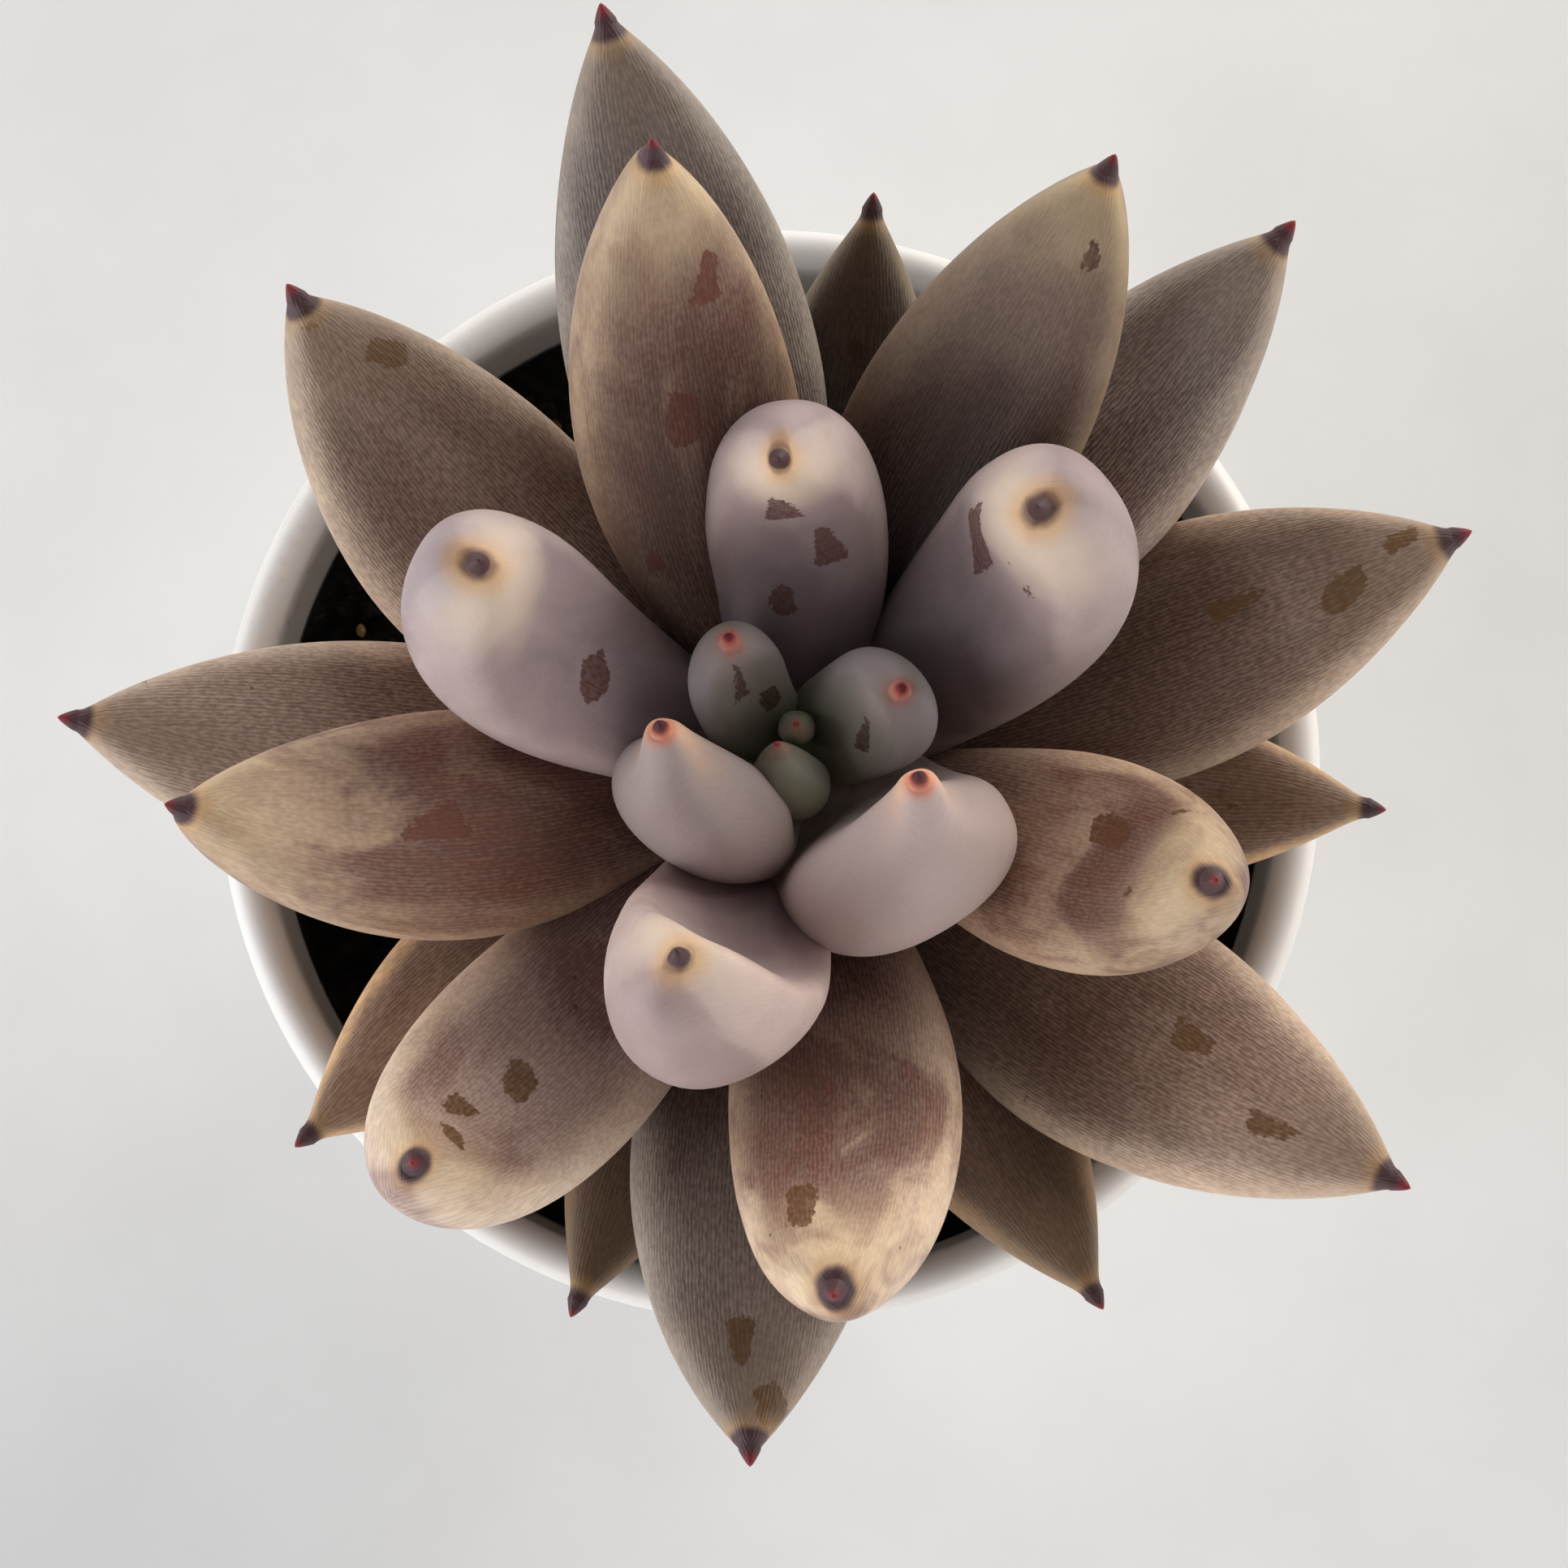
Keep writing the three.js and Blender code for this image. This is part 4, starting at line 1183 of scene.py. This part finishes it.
# %% Layers of the flesh and cover of the bloom
def flesh_with_painted_light_and_shade(tree, look, across, along, over, clouds, streaked):
    """The flesh with its dark root and middle, partly painted shade, its pale rims, partly painted edge
    light, and its patches, cream and streaks.
    """
    wander = spread(tree, clouds["Clouds"], 0, 1, -0.09, 0.09, smooth=False)
    wandered = plus(tree, along, wander)
    aside = sums(tree, "ABSOLUTE", across)
    under = spread(tree, over, -1.0, 0.3, 0.5, 1.0)
    # Darker towards the root, more on the upper side: partly the flesh's own colour, partly painted shade
    # where the leaves crowd at the stem.
    dark_root_and_shade = times(tree, spread(tree, wandered, look["root_to"], 0.08), under)
    flesh = mixed(tree, dark_root_and_shade, look["flesh"], look["root"])

    # Painted shade on the upper face, darkest in its middle towards the root, over flesh that is darker
    # there too.
    upper = spread(tree, over, -0.6, 0.8)
    inner = spread(tree, wandered, look["deep_to"], look["deep_to"] - 0.55)
    dark_middle_and_shade = times(tree, spread(tree, aside, 1.05, 0.2), upper, inner)
    flesh = mixed(tree, times(tree, dark_middle_and_shade, look["deep_amount"]), flesh, look["deep"])

    # The pale rims: partly the leaf's own pale margin, partly painted edge light.
    outer = spread(tree, along, 0.3, 0.75, 0.25, 1.0)
    rim = times(tree, spread(tree, plus(tree, aside, wander), look["rim_from"], 0.98), outer)
    flesh = mixed(tree, times(tree, rim, look["rim_amount"]), flesh, look["rim"])
    flesh = mixed(tree, times(tree, clouds["Mottle"], look["mottle"]), flesh, look["patch"])

    cream = times(tree, spread(tree, clouds["Clouds"], 0.3, 0.8), spread(tree, along, 0.35, 0.85), streaked)
    flesh = mixed(tree, times(tree, cream, look["cream"]), flesh, look["rim"])
    streak = times(tree, clouds["Streaks"], spread(tree, along, 0.3, 0.6), streaked)
    flesh = mixed(tree, times(tree, streak, look["streak"]), flesh, look["streak_colour"])
    return flesh, dark_middle_and_shade, rim


def bloom_cover(tree, look, along, clouds, grains, dark_middle_and_shade, rim):
    """How fully the bloom hides the flesh, from 0 to 1."""
    cloudy = spread(tree, clouds["Clouds"], 0, 1, -look["cloud"], look["cloud"], smooth=False)
    # Thinner bloom under the painted shade of the middle.
    deep = times(tree, dark_middle_and_shade, -look["deep_cover"])
    outward = spread(tree, along, 0.1, 0.9, -look["thin_root"], 0.06, smooth=False)
    pits = times(tree, grains["Grains"], look["grain"])
    rows = spread(tree, grains["Rows"], 0, 1, -0.5 * look["grain"], 0.4 * look["grain"], smooth=False)
    # Thicker bloom on the rims, where edge light is painted.
    edges = times(tree, rim, look["rim_cover"])
    return plus(tree, look["cover"], cloudy, deep, outward, pits, rows, edges, clamp=True)


# %% Layers over the bloom
SPECK_COLOUR = (0.09, 0.045, 0.04)


def pale_end_and_painted_light(tree, look, colour, cap, over):
    """The pale end of a leaf: partly its own cream colour, partly painted light on the lit end."""
    glow = times(tree, cap["End"], spread(tree, over, -0.7, 0.2), look["end_amount"])
    return mixed(tree, glow, colour, look["end"])


def chipped(tree, look, colour, rubs, grains, painted_light_and_warmth, ochre):
    """Chips, darkened by the leaf's painted shade but never lightened by its painted light, with the grains
    left in them.
    """
    chip = mixed(tree, ochre, look["chip"], look["chip_ochre"])
    darkened = node(tree, "ShaderNodeVectorMath", {0: painted_light_and_warmth, 1: (1.0, 1.0, 1.0)}, operation="MINIMUM")
    chip = mixed(tree, 1.0, chip, darkened.outputs[0], "MULTIPLY")
    worn = spread(tree, grains["Grains"], 0.0, 1.0, 1.0, 0.75)
    return mixed(tree, times(tree, rubs["Rubbed"], worn), colour, chip)


def capped(tree, look, colour, rubs, cap):
    """The halo, the specks, the dark cap and the claw."""
    colour = mixed(tree, times(tree, cap["Halo"], look["halo_amount"]), colour, look["halo_colour"])
    colour = mixed(tree, rubs["Specks"], colour, SPECK_COLOUR)
    colour = mixed(tree, cap["Cap"], colour, look["cap_colour"])
    return mixed(tree, cap["Claw"], colour, look["claw_colour"])


# %% Build a leaf's finish
def kept(tree, name):
    """What store kept on the points of a leaf."""
    return node(tree, "ShaderNodeAttribute", attribute_name=name).outputs["Vector"]


def leaf_finish(kind, look):
    """The finish of one kind of leaf, from its look."""
    finish, tree, shader = new_finish(f"{kind}_leaf_bloom", ior=1.42, subsurface_weight=look["glow"],
                                      sheen_weight=look["powder"], sheen_roughness=0.45)
    set_glow(shader, (1.0, 0.42, 0.28), 1.6)
    shader.inputs["Sheen Tint"].default_value = (1.0, 0.96, 0.93, 1)
    spot, painted_light_and_warmth = kept(tree, "leaf_mm"), kept(tree, "leaf_painted_light_and_warmth")
    streaked = parted(tree, kept(tree, "leaf_streaks"))["X"]
    from_claw, from_chip, ochre = parted(tree, kept(tree, "leaf_marks"))
    across, along, over = parted(tree, kept(tree, "leaf_share"))

    clouds = place_group(tree, bloom_clouds, {"Vector": spot})
    grains = place_group(tree, grain_rows, {"Vector": spot})
    chips = {"Vector": spot, "Place": room_place(tree), "Distance": from_chip, "Specks": look["specks"]}
    rubs = place_group(tree, chips_and_specks, chips)
    sizes = {size: look[size.lower()] for size in ("Cap", "Halo", "Claw", "Reach")}
    cap = place_group(tree, cap_and_claw, {"Vector": spot, "Distance": from_claw, **sizes})

    flesh, dark_middle_and_shade, rim = flesh_with_painted_light_and_shade(tree, look, across, along, over, clouds, streaked)
    cover = bloom_cover(tree, look, along, clouds, grains, dark_middle_and_shade, rim)
    colour = mixed(tree, cover, flesh, look["bloom"])
    rows = spread(tree, grains["Grains"], 0.15, 0.85, 0.5, 1.3, smooth=False)
    colour = mixed(tree, look["lines"], colour, rows, "MULTIPLY")
    # Painted light and shade of the leaf from root to end, with its warmth.
    colour = mixed(tree, 1.0, colour, painted_light_and_warmth, "MULTIPLY")
    colour = pale_end_and_painted_light(tree, look, colour, cap, over)
    colour = chipped(tree, look, colour, rubs, grains, painted_light_and_warmth, ochre)
    colour = capped(tree, look, colour, rubs, cap)
    paint(tree, shader, colour, spread(tree, cover, 0.0, 0.9, 0.48, 0.64, smooth=False))

    relief = sums(tree, "MULTIPLY_ADD", grains["Grains"], 0.7, times(tree, grains["Rows"], 0.2))
    relief = sums(tree, "SUBTRACT", relief, times(tree, rubs["Rubbed"], 0.6))
    roughen(tree, shader, relief, look["relief"], 0.6)
    return finish


# %% [markdown]
# ### The looks
#
# A look lists the colours and amounts of one kind of leaf. Its colours are named for where they
# lie, such as the root, the deep middle, the rim, the end, the halo round the cap and the claw. The
# root and deep middle colours hold painted shade, and the rim and end colours painted light, each
# over the leaf's own colour.
# Cap, claw, halo, reach and relief are lengths in millimetres, root_to and deep_to are shares of
# the length, rim_from is a share of the half width, and the rest are strengths from 0 to 1. What a
# kind doesn't name comes from the base look. The horns are the two inner leaves that are drawn up
# into a curl over the bud.

# %% Looks of all the leaves
BASE_LOOK = {
    "root_to": 0.7, "deep_to": 0.95, "deep_amount": 0.85, "deep_cover": 0.14,
    "rim_from": 0.72, "rim_amount": 0.85, "rim_cover": 0.2, "mottle": 0.4,
    "cream": 0.0, "streak": 0.0, "streak_colour": (0.16, 0.055, 0.035),
    "cover": 0.2, "cloud": 0.13, "thin_root": 0.15, "grain": 0.16, "lines": 0.3,
    "end_amount": 0.7, "reach": 15.0, "chip_ochre": (0.14, 0.066, 0.018), "specks": 0.3,
    "halo": 1.6, "halo_amount": 0.5, "halo_colour": (0.42, 0.25, 0.1),
    "cap": 2.3, "cap_colour": (0.06, 0.024, 0.028), "claw": 0.95, "claw_colour": (0.16, 0.012, 0.018),
    "glow": 0.1, "powder": 0.05, "relief": 0.06,
}
SMOOTH_LOOK = {**BASE_LOOK, "grain": 0.02, "relief": 0.02, "lines": 0.04}
LOOKS = {
    "bud": {
        **SMOOTH_LOOK, "lines": 0.03, "cover": 0.25, "specks": 0.0, "reach": 4.0,
        "root": (0.12, 0.15, 0.07), "flesh": (0.26, 0.28, 0.18), "deep": (0.22, 0.24, 0.15),
        "end": (0.34, 0.28, 0.22), "rim": (0.34, 0.32, 0.25), "patch": (0.2, 0.2, 0.13),
        "bloom": (0.4, 0.38, 0.32), "chip": (0.15, 0.18, 0.09),
        "halo": 2.0, "halo_amount": 0.6, "halo_colour": (0.42, 0.17, 0.13),
        "cap": 0.3, "cap_colour": (0.4, 0.07, 0.06), "claw": 0.5, "claw_colour": (0.4, 0.05, 0.05),
    },
    "inner": {
        **SMOOTH_LOOK, "root_to": 0.5, "deep_to": 1.0, "deep_cover": 0.12, "cover": 0.24,
        "root": (0.15, 0.19, 0.07), "flesh": (0.19, 0.175, 0.14), "deep": (0.16, 0.165, 0.11),
        "end": (0.34, 0.25, 0.23), "rim": (0.26, 0.22, 0.22), "patch": (0.19, 0.16, 0.15),
        "bloom": (0.3, 0.27, 0.285), "chip": (0.085, 0.05, 0.036), "chip_ochre": (0.1, 0.065, 0.035),
        "specks": 0.12, "reach": 5.0, "halo": 1.5, "halo_amount": 0.85, "halo_colour": (0.62, 0.17, 0.1),
        "cap": 0.85, "cap_colour": (0.26, 0.02, 0.025), "claw": 0.6, "claw_colour": (0.11, 0.006, 0.012),
    },
    "horn": {
        **SMOOTH_LOOK, "root_to": 0.5, "deep_to": 0.75, "deep_cover": 0.15, "cover": 0.3,
        "root": (0.16, 0.14, 0.11), "flesh": (0.6, 0.48, 0.45), "deep": (0.24, 0.2, 0.17),
        "end": (0.76, 0.48, 0.29), "rim": (0.7, 0.55, 0.5), "patch": (0.56, 0.42, 0.4),
        "bloom": (0.72, 0.59, 0.58), "chip": (0.2, 0.13, 0.09),
        "specks": 0.12, "reach": 9.0, "halo": 1.5, "halo_amount": 0.9, "halo_colour": (0.66, 0.2, 0.1),
        "cap": 1.15, "cap_colour": (0.13, 0.01, 0.016), "claw_colour": (0.05, 0.006, 0.012),
    },
    "middle": {
        **SMOOTH_LOOK, "root_to": 0.42, "cover": 0.24, "end_amount": 0.6,
        "root": (0.075, 0.07, 0.09), "flesh": (0.42, 0.31, 0.305), "deep": (0.26, 0.2, 0.215),
        "end": (0.76, 0.61, 0.45), "rim": (0.75, 0.6, 0.54), "patch": (0.34, 0.24, 0.23),
        "bloom": (0.66, 0.52, 0.515), "chip": (0.15, 0.065, 0.055), "chip_ochre": (0.14, 0.06, 0.045),
        "specks": 0.15, "reach": 10.0, "halo": 1.7, "halo_amount": 0.6, "halo_colour": (0.66, 0.36, 0.12),
        "cap": 1.6, "cap_colour": (0.06, 0.024, 0.027), "claw": 0.4, "claw_colour": (0.05, 0.016, 0.022),
    },
    "upper": {
        **BASE_LOOK, "streak": 1.0, "cream": 0.9, "cloud": 0.16, "rim_from": 0.58, "rim_cover": 0.05,
        "root": (0.06, 0.034, 0.03), "flesh": (0.25, 0.145, 0.11), "deep": (0.13, 0.063, 0.048),
        "end": (0.66, 0.5, 0.28), "rim": (0.74, 0.56, 0.36), "patch": (0.17, 0.085, 0.06),
        "bloom": (0.48, 0.38, 0.34), "chip": (0.17, 0.05, 0.032), "streak_colour": (0.19, 0.07, 0.045),
        "end_amount": 0.42, "reach": 13.0, "halo_colour": (0.5, 0.27, 0.1),
    },
    "long": {
        **BASE_LOOK, "streak": 0.25, "rim_from": 0.6, "rim_cover": 0.0, "rim_amount": 0.95,
        "root": (0.06, 0.036, 0.03), "flesh": (0.16, 0.095, 0.064), "deep": (0.12, 0.066, 0.044),
        "end": (0.24, 0.165, 0.11), "rim": (0.52, 0.4, 0.29), "patch": (0.09, 0.048, 0.034),
        "bloom": (0.41, 0.325, 0.28), "chip": (0.13, 0.055, 0.022), "cover": 0.29, "lines": 0.4,
        "relief": 0.08, "end_amount": 0.5, "cap": 2.8, "claw": 1.4, "claw_colour": (0.2, 0.014, 0.028),
    },
    "lower": {
        **BASE_LOOK, "streak": 0.3, "streak_colour": (0.16, 0.09, 0.04), "cover": 0.15, "grain": 0.14,
        "root": (0.03, 0.017, 0.013), "flesh": (0.1, 0.056, 0.038), "deep": (0.045, 0.024, 0.021),
        "end": (0.17, 0.1, 0.045), "rim": (0.46, 0.27, 0.1), "patch": (0.055, 0.028, 0.016),
        "bloom": (0.26, 0.19, 0.14), "chip": (0.07, 0.028, 0.012), "end_amount": 0.4,
    },
}
FINISHES = {kind: leaf_finish(kind, look) for kind, look in LOOKS.items()}
print("leaf finishes:", list(FINISHES))

# %% Hand each leaf its finish and its node
for name, piece in pieces.items():
    kind = "horn" if LEAVES[name]["knob"] else LEAVES[name]["kind"]
    wear(piece, FINISHES[kind])
    finish_shape(piece)
    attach(piece, "root")
    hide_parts(name)
print("leaves dressed:", len(pieces))
